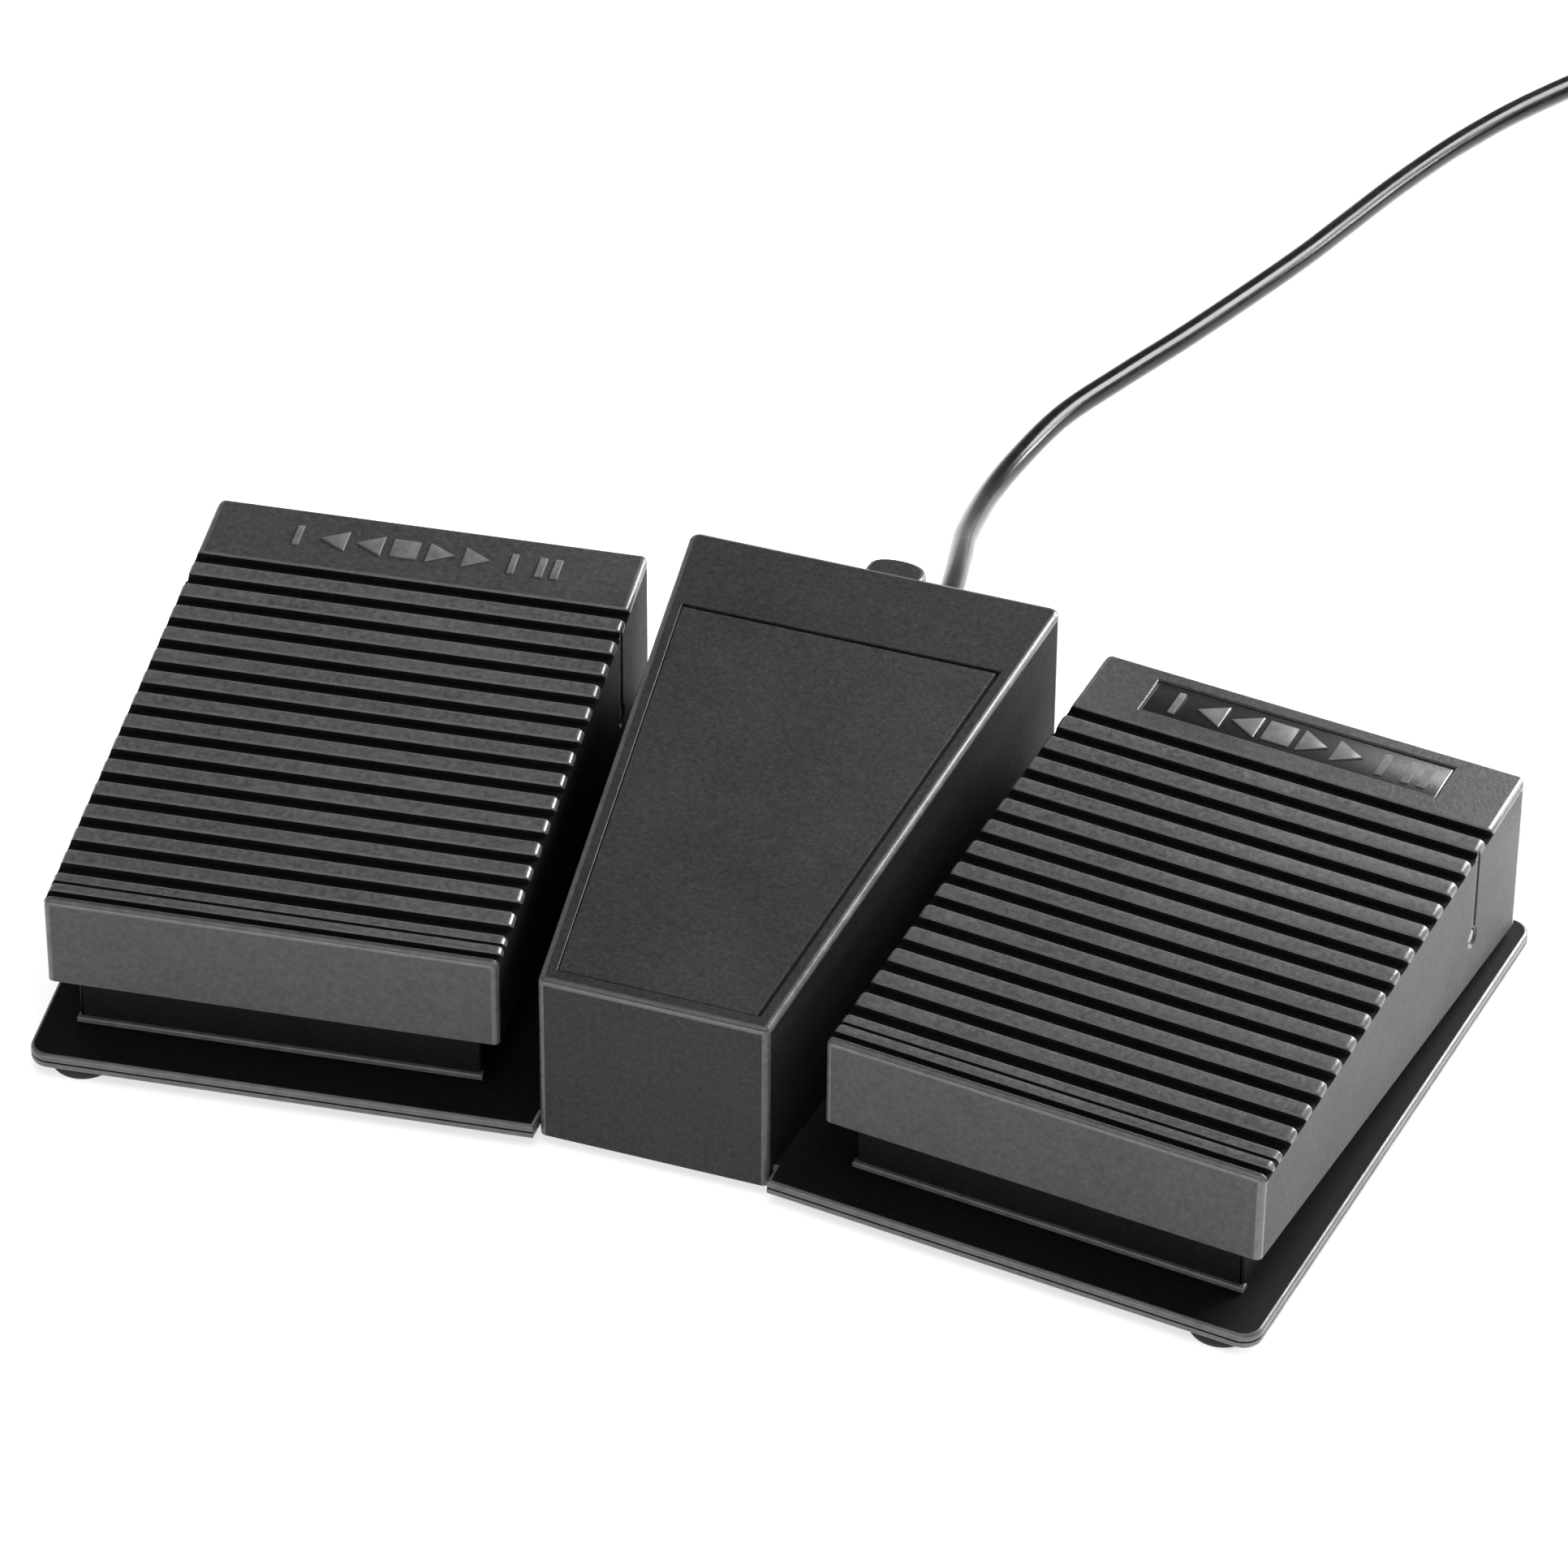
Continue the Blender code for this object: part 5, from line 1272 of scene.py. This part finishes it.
def foot_places():
    places = {}
    for side in SIDES:
        places[f"front_{side}"] = pedal_point(side, 0.0815, -0.0002)
        places[f"rear_{side}"] = pedal_point(side, 0.0810, 0.1200)
    return places


def make_base(palette):
    """Base plate with rounded rims, sunk screw holes, and a blank rating panel underneath."""
    bm = bmesh.new()
    outline = base_outline()
    # The rim strips take the much paler edge material: painted highlight along the base's rims.
    profile = (
        (FOOT_HEIGHT, 0.00050, EDGE_HIGHLIGHT),
        (FOOT_HEIGHT + 0.00015, 0.00015, EDGE_HIGHLIGHT),
        (FOOT_HEIGHT + 0.00050, 0.0, EDGE_HIGHLIGHT),
        (0.00385, 0.0, BODY),
        (0.00392, 0.00030, BODY),
        (0.00415, 0.00030, BODY),
        (0.00422, 0.0, EDGE_HIGHLIGHT),
        (BASE_TOP - 0.00070, 0.0, EDGE_HIGHLIGHT),
        (BASE_TOP - 0.00036, 0.00010, EDGE_HIGHLIGHT),
        (BASE_TOP - 0.00010, 0.00036, EDGE_HIGHLIGHT),
        (BASE_TOP, 0.00070, EDGE_HIGHLIGHT),
    )
    rings = []
    for z, inset, finish in profile:
        rings.append([bm.verts.new((x, y, z)) for x, y in inset_outline(outline, inset)])
    stack(bm, rings, [finish for z, inset, finish in profile])
    base = to_object("base_tray", finish_bmesh(bm), [palette["base"], palette["base_edge_highlight"]])
    studs = bmesh.new()
    sunk = BASE_TOP - 0.0010
    for side in SIDES:
        spot = Matrix.Translation((*pedal_point(side, *SPRING_AT), 0))
        stub = rod(0.0036, sunk, BASE_TOP + 0.0040)
        add_turned(studs, rounded(stub, 0.0004, 3), spot, 32)
    for x, y in BOARD_SCREWS.values():
        post = rod(0.0030, sunk, 0.0100)
        add_turned(studs, rounded(post, 0.0002, 2), Matrix.Translation((x, y, 0)), 28)
    carve(base, to_object("studs", finish_bmesh(studs), list(base.data.materials)), "UNION")
    cuts = bmesh.new()
    below = FOOT_HEIGHT - PAST
    for x, y in screw_places().values():
        hole = [
            (0, below),
            (0.0041, below),
            (0.0041, FOOT_HEIGHT),
            (0.0036, FOOT_HEIGHT + 0.0005),
            (0.0036, FOOT_HEIGHT + 0.0014),
            (PILOT_RADIUS, FOOT_HEIGHT + 0.0014),
            (PILOT_RADIUS, BASE_TOP + PAST),
            (0, BASE_TOP + PAST),
        ]
        add_turned(cuts, hole, Matrix.Translation((x, y, 0)), 28)
    for x, y in foot_places().values():
        hole = rod(0.0027, below, 0.0046)
        add_turned(cuts, hole, Matrix.Translation((x, y, 0)), 24)
    add_box(cuts, (-0.0200, -0.0050, below), (0.0200, 0.0250, FOOT_HEIGHT + 0.0003))
    carve(base, to_object("cuts", finish_bmesh(cuts), list(base.data.materials)))
    settle(base)
    install(base, "base", "base_plastic", "base_plate")


def make_feet(palette):
    """Rubber feet with a rounded rim and a moulded ring underneath."""
    profile = [(0, 0.0006), (0.0030, 0.0006), (0.0034, 0.0), (0.0062, 0.0), (0.0066, 0.0009)]
    profile += [(0.0060, FOOT_HEIGHT - GAP), (0.0024, FOOT_HEIGHT - GAP), (0.0024, 0.0043), (0, 0.0043)]
    profile = rounded(profile, 0.0006, 4)
    for place, (x, y) in foot_places().items():
        spot = Matrix.Translation((x, y, 0))
        foot = turned_piece(f"rubber_foot_{place}", profile, spot, 40, palette["rubber"])
        install(foot, "base", "black_rubber", f"foot_{place}")


def screw_bmesh(head, shank, height, length):
    """Pan-head screw along +Z from its seat at 0, with its head below and a thread; make_screw cuts the cross
    recess.
    """
    bm = bmesh.new()
    profile = [(0, -height), (0.62 * head, -height), (head, -0.45 * height), (head, 0), (shank, 0)]
    pitch, turns = 0.0011, int((length - 0.001) / 0.0011)
    for index in range(turns):
        z = 0.0006 + index * pitch
        profile += [(shank * 0.80, z), (shank, z + 0.45 * pitch), (shank * 0.80, z + 0.9 * pitch)]
    profile += [(0.0003, length), (0, length)]
    add_turned(bm, profile, Matrix.Identity(4), 28)
    return finish_bmesh(bm)


def make_screw(node, place, sizes, palette, down=False):
    """A screw whose head faces down or up, with its cross recess cut."""
    head, shank, height, length = sizes
    screw = to_object(f"{node}_cross", screw_bmesh(*sizes), [palette["steel"]], 40)
    half = 0.10 * head
    for turned in (0, 1):
        arm = bmesh.new()
        ends = []
        for reach, z in ((0.60 * head, -height - 0.0002), (0.30 * head, -height * 0.15)):
            corners = rectangle((-reach, -half), (reach, half))
            ends.append([arm.verts.new((y, x, z) if turned else (x, y, z)) for x, y in corners])
        stack(arm, ends)
        bmesh.ops.recalc_face_normals(arm, faces=arm.faces)
        carve(screw, to_object("cross_arm", arm, [palette["steel"]]))
    matrix = Matrix.Translation(place)
    if not down:
        matrix = matrix @ Matrix.Rotation(math.pi, 4, "X")
    screw.data.transform(matrix)
    resmooth(screw.data, 35)
    install(screw, "base", "plated_steel", node)


def make_base_screws(palette):
    """The seven screws that come up from below."""
    sizes = (0.0030, 0.00125, 0.0010, BASE_TOP + 0.0070 - FOOT_HEIGHT - 0.0011)
    for name, (x, y) in screw_places().items():
        make_screw(name, (x, y, SCREW_SEAT), sizes, palette, True)


def flared_solid(bm, profile, inset=0.0):
    """Extrude a side view of (distance from the front, height) pairs as wide as the housing is there."""
    ends = []
    for sign in (-1, 1):
        ends.append([bm.verts.new((sign * (half_width(y) - inset), FRONT_Y + y, z)) for y, z in profile])
    flat_face(bm, ends[0])
    flat_face(bm, ends[1])
    for index in range(len(profile)):
        ahead = (index + 1) % len(profile)
        flat_face(bm, (ends[0][index], ends[0][ahead], ends[1][ahead], ends[1][index]))
    bmesh.ops.recalc_face_normals(bm, faces=bm.faces)


def top_ring(front, rear, inset, drop):
    """Corners of a rectangle-like patch on the housing's top, at a depth below it."""
    return [
        (sign * (half_width(y) - inset), FRONT_Y + y, housing_top(y) - drop)
        for sign, y in ((-1, front), (1, front), (1, rear), (-1, rear))
    ]


def patch_solid(name, rings, materials, index):
    """A closed solid through stacked rings of corners."""
    bm = bmesh.new()
    stack(bm, [[bm.verts.new(point) for point in ring] for ring in rings], index)
    return to_object(name, finish_bmesh(bm), materials)


def make_housing(palette):
    """Wedge shell with rounded edges, cowl and a recess for its top panel."""
    materials = [palette["shell"], palette["shell_edge_highlight"], palette["inner_side_shade"]]
    bottom = BASE_TOP + GAP
    bm = bmesh.new()
    profile = [
        (0, FOOT_HEIGHT),
        (0, HOUSING_TOP_FRONT),
        (HOUSING_LENGTH, HOUSING_TOP_REAR),
        (HOUSING_LENGTH, bottom),
        (HOUSING_WALL, bottom),
        (HOUSING_WALL, FOOT_HEIGHT),
    ]
    flared_solid(bm, profile)

    def upright(edge, y):
        ends = [vert.co for vert in edge.verts]
        return all(abs(end.y - FRONT_Y - y) < 1e-5 for end in ends) and abs(ends[0].x - ends[1].x) < 1e-5

    # Rounded corners and edges take the paler edge material: painted highlight.
    bevel_edges(bm, [edge for edge in bm.edges if upright(edge, HOUSING_LENGTH)], HOUSING_CORNER, 6)
    bm.normal_update()
    rim = [e for e in bm.edges if sorted(face.normal.z > 0.9 for face in e.link_faces) == [False, True]]
    rim += [edge for edge in bm.edges if upright(edge, 0)]
    bevel_edges(bm, rim, HOUSING_RADIUS, 5)
    bm.normal_update()
    # Large side faces take the darkest material: painted shade for the gaps beside the pedals.
    for face in bm.faces:
        if abs(face.normal.x) > 0.97 and face.calc_area() > 1e-4:
            face.material_index = 2
    housing = to_object("housing_shell", finish_bmesh(bm), materials)

    cowl = bmesh.new()
    top = HOUSING_TOP_REAR - 0.0004
    rings = []
    levels = (
        (0.0, bottom + 0.0006, COWL_DEPTH),
        (0.0, HOOD_START, COWL_DEPTH),
        (0.0, HOOD_FULL, HOOD_DEPTH),
        (0.0, top - 0.0009, HOOD_DEPTH),
        (0.0003, top - 0.0003, HOOD_DEPTH),
        (0.0009, top, HOOD_DEPTH),
    )
    for shrink, z, depth in levels:
        ring = [(EXIT_X - COWL_HALF_WIDTH + shrink, REAR_Y - 0.0012)]
        for step in range(13):
            angle = min(math.pi * (step + 0.25) / 12.5, math.pi)
            reach = (depth - shrink) * max(0.0, math.sin(angle)) ** 0.5
            ring.append((EXIT_X - (COWL_HALF_WIDTH - shrink) * math.cos(angle), REAR_Y + reach))
        ring.append((EXIT_X + COWL_HALF_WIDTH - shrink, REAR_Y - 0.0012))
        rings.append([cowl.verts.new((x, y, z)) for x, y in ring])
    # The hood's rounded top takes the paler edge material: painted highlight.
    stack(cowl, rings, (BODY, BODY, BODY, EDGE_HIGHLIGHT, EDGE_HIGHLIGHT))
    carve(housing, to_object("cowl", finish_bmesh(cowl), materials), "UNION")

    margin = PANEL_INSET - GAP
    rim = 0.00012
    recess = [
        top_ring(PANEL_FRONT, PANEL_REAR + 0.0002, margin, PANEL_RECESS),
        top_ring(PANEL_FRONT, PANEL_REAR + 0.0002, margin, rim),
        top_ring(PANEL_FRONT - rim, PANEL_REAR + 0.0002 + rim, margin - rim, 0.0),
        top_ring(PANEL_FRONT - 0.0025, PANEL_REAR + 0.0027, margin - 0.0025, -0.0025 + rim),
    ]
    carve(housing, patch_solid("recess", recess, materials, 0))

    hollow = bmesh.new()
    front, rear = HOUSING_WALL, HOUSING_LENGTH - HOUSING_WALL
    inside = [
        (front, bottom - 0.001),
        (front, housing_top(front) - HOUSING_DECK),
        (rear, housing_top(rear) - HOUSING_DECK),
        (rear, bottom - 0.001),
    ]
    flared_solid(hollow, inside, HOUSING_WALL)
    carve(housing, to_object("hollow", finish_bmesh(hollow), materials))

    bosses = bmesh.new()
    cuts = bmesh.new()
    for x, y in HOUSING_BOSSES.values():
        spot = Matrix.Translation((x, FRONT_Y + y, 0))
        high = housing_top(y) - 0.0025
        add_turned(bosses, rod(BOSS_RADIUS, bottom, high), spot, 28)
        add_turned(cuts, rod(PILOT_RADIUS, bottom - PAST, 0.0150), spot, 24)
    carve(housing, to_object("bosses", finish_bmesh(bosses), materials), "UNION")
    add_turned(cuts, rod(0.0040, -0.005, 0.005), at_exit(), 36)
    add_box(cuts, (-0.0500, FRONT_Y + 0.0660, bottom - 0.001), (0.0500, FRONT_Y + 0.0760, bottom + 0.0032))
    carve(housing, to_object("cuts", finish_bmesh(cuts), materials))
    settle(housing)
    install(housing, "base", "housing_plastic", "centre_housing")

    panel = []
    for shrink, drop in ((0.0, 0.0011), (0.0, 0.00035), (0.00012, 0.00010), (0.00035, 0.0)):
        front, rear = PANEL_FRONT + 0.00005 + shrink, PANEL_REAR - 0.00050 - shrink
        ring = []
        for sign, y in ((-1, front), (1, front), (1, rear), (-1, rear)):
            inset = PANEL_INSET + shrink + (0.00045 if sign > 0 else -0.00018)
            ring.append((sign * (half_width(y) - inset), FRONT_Y + y, housing_top(y) - drop))
        panel.append(ring)
    panel = patch_solid("top_panel", panel, [palette["panel"]], 0)
    weigh_normals(panel)
    install(panel, "base", "panel_plastic", "housing_top_panel")


def make_plinth(side, palette):
    """Frame that stands on the base inside the pedal's skirt, with a flange along its foot."""
    bottom, rear_top = BASE_TOP + GAP, 0.0352
    profile = [
        (PLINTH_FRONT, bottom),
        (PLINTH_FRONT, PLINTH_HEIGHT),
        (PIN_BACK - 0.0120, PLINTH_HEIGHT),
        (PIN_BACK - 0.0070, 0.0270),
        (PIN_BACK + 0.0070, 0.0290),
        (PLINTH_REAR - 0.0050, rear_top),
        (PLINTH_REAR, rear_top),
        (PLINTH_REAR, bottom),
    ]
    bm = bmesh.new()
    add_prism(bm, profile, PLINTH_SIDE, PEDAL_WIDTH - PLINTH_SIDE, "X")
    bmesh.ops.recalc_face_normals(bm, faces=bm.faces)
    front_low = [
        e for e in bm.edges
        if all(v.co.y < PLINTH_FRONT + 1e-5 for v in e.verts)
        and min(v.co.z for v in e.verts) > bottom - 1e-5
        and not all(v.co.z < bottom + 1e-5 for v in e.verts)
    ]
    bevel_edges(bm, front_low, 0.0007, 3, 0)
    materials = [palette["base"], palette["base_edge_highlight"]]
    plinth = to_object(f"{side}_plinth_frame", finish_bmesh(bm), materials)
    flange = bmesh.new()
    reach = 0.0009
    low = (PLINTH_SIDE - 0.0004, PLINTH_FRONT - reach, bottom)
    high = (PEDAL_WIDTH - PLINTH_SIDE + 0.0004, PLINTH_FRONT + 0.0010, bottom + 0.0011)
    add_box(flange, low, high)
    bmesh.ops.recalc_face_normals(flange, faces=flange.faces)
    upper = [e for e in flange.edges if all(v.co.z > high[2] - 1e-6 for v in e.verts)]
    bevel_edges(flange, upper, 0.00035, 3)
    # The whole flange takes the paler edge material: painted highlight along the plinth's foot.
    for face in flange.faces:
        face.material_index = 1
    carve(plinth, to_object("flange", finish_bmesh(flange), materials), "UNION")
    inside = bmesh.new()
    wall = PLINTH_WALL
    low = (PLINTH_SIDE + wall, PLINTH_FRONT + wall, 0)
    add_box(inside, low, (PEDAL_WIDTH - PLINTH_SIDE - wall, PLINTH_REAR - wall, 0.05))
    carve(plinth, to_object("inside", finish_bmesh(inside), materials))
    bosses = bmesh.new()
    cuts = bmesh.new()
    for a, b in PLINTH_BOSSES.values():
        spot = Matrix.Translation((a, b, 0))
        high = BASE_TOP + 0.0110
        add_turned(bosses, rod(BOSS_RADIUS, bottom, high), spot, 28)
        add_turned(cuts, rod(PILOT_RADIUS, bottom - PAST, high - 0.002), spot, 24)
    carve(plinth, to_object("bosses", finish_bmesh(bosses), materials), "UNION")
    add_turned(cuts, rod(0.0018, PAST, PEDAL_WIDTH - PAST), at_hinge(), 28)
    add_box(cuts, (0, 0.0655, bottom - 0.001), (0.0200, 0.0715, bottom + 0.0032))
    carve(plinth, to_object("cuts", finish_bmesh(cuts), materials))
    settle(plinth, side)
    install(plinth, "base", "base_plastic", f"{side}_plinth")


# ---------------------------------------------------------------- springs, pins, switches and board


def make_pin(side, palette):
    """Hinge pin with chamfered ends."""
    profile = rounded(rod(PIN_RADIUS, 0.0004, PEDAL_WIDTH - 0.0004), 0.0004, 3)
    name, world = f"{side}_pin_rod", pedal_matrix(side)
    pin = turned_piece(name, profile, at_hinge(), 32, palette["pin"], 35, world)
    install(pin, "base", "plated_steel", f"{side}_hinge_pin")


def make_spring(side, palette):
    """Helical spring with closed ends."""
    low, high = SPRING_LOW + SPRING_WIRE, SPRING_TOP - SPRING_WIRE
    steps = SPRING_TURNS * 28
    points = []
    for step in range(steps + 1):
        share = step / steps
        angle = 2 * math.pi * SPRING_TURNS * share
        rise = share - math.sin(2 * math.pi * share) / (2 * math.pi) * 0.8
        a = SPRING_AT[0] + SPRING_RADIUS * math.cos(angle)
        b = SPRING_AT[1] + SPRING_RADIUS * math.sin(angle)
        points.append((*pedal_point(side, a, b), low + (high - low) * rise))
    spring = sweep(f"{side}_spring_coil", points, SPRING_WIRE, 10, [palette["spring"]])
    install(spring, "base", "plated_steel", f"{side}_return_spring")
    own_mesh(spring)


def make_stops(side, palette):
    """Rubber pads that end the pedal's travel."""
    world, spot = pedal_matrix(side), Matrix.Translation((*DOWN_STOP_AT, 0))
    low, high = BASE_TOP + GAP, 0.0102
    profile = rounded([(0, low), (0.0050, low), (0.0046, high), (0, high)], 0.0006, 4)
    pad = turned_piece(f"{side}_down_pad", profile, spot, 36, palette["rubber"], place=world)
    install(pad, "base", "black_rubber", f"{side}_down_stop")
    bm = bmesh.new()
    add_box(bm, (0.0240, PLINTH_REAR - 0.0027, 0.0355), (0.0640, PLINTH_REAR - 0.0002, 0.0384))
    bmesh.ops.recalc_face_normals(bm, faces=bm.faces)
    bevel_edges(bm, list(bm.edges), 0.0005, 3, 0)
    pad = to_object(f"{side}_up_pad", finish_bmesh(bm, world), [palette["rubber"]], TURNED_SHARP)
    install(pad, "base", "black_rubber", f"{side}_up_stop")


def make_leads(palette):
    """Two insulated wires from each switch to the board."""
    height = BASE_TOP + 0.0014
    for side, sign in SIDES.items():
        start_x, start_y = pedal_point(side, 0.0228, 0.0685)
        wall_x, wall_y = pedal_point(side, 0.0010, 0.0685)
        points = (
            (start_x, start_y, height),
            ((start_x + wall_x) / 2, (start_y + wall_y) / 2, height),
            (wall_x, wall_y, height),
            (sign * 0.0290, FRONT_Y + 0.0710, height),
            (sign * 0.0205, TERMINAL_Y + 0.0020, height + 0.0010),
            (sign * 0.0165, TERMINAL_Y, height + 0.0050),
            (sign * 0.0138, TERMINAL_Y, 0.0154),
        )
        bm = bmesh.new()
        for shift in (-0.00048, 0.00048):
            wire = [Vector(p) + Vector((0, shift, 0)) for p in points]
            add_tube(bm, smooth_route(wire, 0.0012), 0.00048, 10)
        lead = to_object(f"{side}_wire_pair", finish_bmesh(bm), [palette["wire"]])
        install(lead, "base", "wire_insulation", f"{side}_switch_lead")


def make_inner_cable(palette):
    """The cable's stretch inside the housing."""
    inner_start = REAR_Y - HOUSING_WALL - GAP - 0.0015 - GAP
    points = (
        (EXIT_X, inner_start, EXIT_Z),
        (EXIT_X, inner_start - 0.0040, EXIT_Z - 0.0006),
        (EXIT_X, inner_start - 0.0140, BASE_TOP + 0.0078),
        (EXIT_X, CLAMP_Y + 0.0080, BASE_TOP + 0.0036),
        (EXIT_X, CLAMP_Y + 0.0030, BASE_TOP + 0.0029),
        (EXIT_X, CLAMP_Y - 0.0030, BASE_TOP + 0.0029),
        (0.0026, CLAMP_Y - 0.0080, BASE_TOP + 0.0036),
        (-0.0002, BOARD_REAR + 0.0070, BOARD_TOP + 0.0010),
        (-0.0010, BOARD_REAR - 0.0004, BOARD_TOP + 0.0035),
    )
    inner = sweep("cable_inside", smooth_route(points, 0.0012), 0.0022, 20, [palette["cable"]])
    install(inner, "base", "cable_jacket", "inner_cable")


def make_terminals(palette):
    """Terminal blocks with an entry slot and a screw head for each wire."""
    top = BOARD_TOP + GAP
    blocks = {
        "left": ((-0.0125, TERMINAL_Y - 0.0050), (-0.0075, TERMINAL_Y + 0.0050)),
        "right": ((0.0075, TERMINAL_Y - 0.0050), (0.0125, TERMINAL_Y + 0.0050)),
        "cable": ((-0.0060, BOARD_REAR - 0.0070), (0.0040, BOARD_REAR - 0.0010)),
    }
    ways = 3
    for use, (low, high) in blocks.items():
        bm = bmesh.new()
        add_box(bm, (*low, top), (*high, top + 0.0060))
        bmesh.ops.recalc_face_normals(bm, faces=bm.faces)
        bevel_edges(bm, list(bm.edges), 0.00035, 2, 0)
        materials = [palette["terminal"], palette["steel"]]
        block = to_object(f"{use}_terminal_block", finish_bmesh(bm), materials)
        wells = bmesh.new()
        heads = bmesh.new()
        for way in range(ways):
            share = (way + 0.5) / ways
            x = low[0] + share * (high[0] - low[0]) if use == "cable" else (low[0] + high[0]) / 2
            y = (low[1] + high[1]) / 2 if use == "cable" else low[1] + share * (high[1] - low[1])
            spot = Matrix.Translation((x, y, top))
            add_turned(wells, rod(0.0012, 0.0042, 0.0070), spot, 24)
            head = [(0, 0.0035), (0.0011, 0.0035), (0.0011, 0.0049), (0.0009, 0.0051), (0, 0.0051)]
            add_turned(heads, head, spot, 24, 1)
        carve(block, to_object("wells", finish_bmesh(wells), materials))
        carve(block, to_object("heads", finish_bmesh(heads), materials), "UNION")
        resmooth(block.data)
        install(block, "base", "terminal_nylon", f"{use}_terminal")


def make_small_screws(palette):
    """Board and clamp screws."""
    seat = BOARD_TOP + GAP
    sizes = (0.0024, 0.0010, 0.0010, seat - BASE_TOP - 0.0020)
    for at, (x, y) in BOARD_SCREWS.items():
        make_screw(f"board_screw_{at}", (x, y, seat), sizes, palette)
    seat = BASE_TOP + GAP + 0.0017
    sizes = (0.0022, 0.0010, 0.0010, seat - BASE_TOP + 0.0018)
    make_screw("clamp_screw", (0.0106, CLAMP_Y, seat), sizes, palette)


def dress_nodes(palette):
    """Give the CAD nodes that stay their finishes."""
    finishes = {"junction_board": "board", "cable_clamp": "clamp"}
    for side in SIDES:
        finishes[f"{side}_resistor"] = "resistor"
        finishes[f"{side}_switch_body"] = "switch"
        finishes[f"{side}_switch_plunger"] = "plunger"
        for part in ("bracket", "screw_front", "screw_rear", "lever"):
            finishes[f"{side}_switch_{part}"] = "steel"
    for node, use in finishes.items():
        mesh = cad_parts[node].data
        mesh.materials.clear()
        mesh.materials.append(palette[use])


def main():
    make_camera()
    palette = make_palette()
    cable = make_cable(palette)
    relief = make_relief(palette)
    tie = make_tie(palette)
    grip, pin = make_plug(palette)
    make_base(palette)
    make_feet(palette)
    make_base_screws(palette)
    make_housing(palette)
    for side in SIDES:
        make_pedal(side, palette)
        make_plinth(side, palette)
        make_pin(side, palette)
        make_spring(side, palette)
        make_stops(side, palette)
    make_label(palette)
    make_leads(palette)
    make_inner_cable(palette)
    make_terminals(palette)
    make_small_screws(palette)
    dress_nodes(palette)
    make_stage()
    bpy.context.scene.view_settings.view_transform = "Standard"


main()
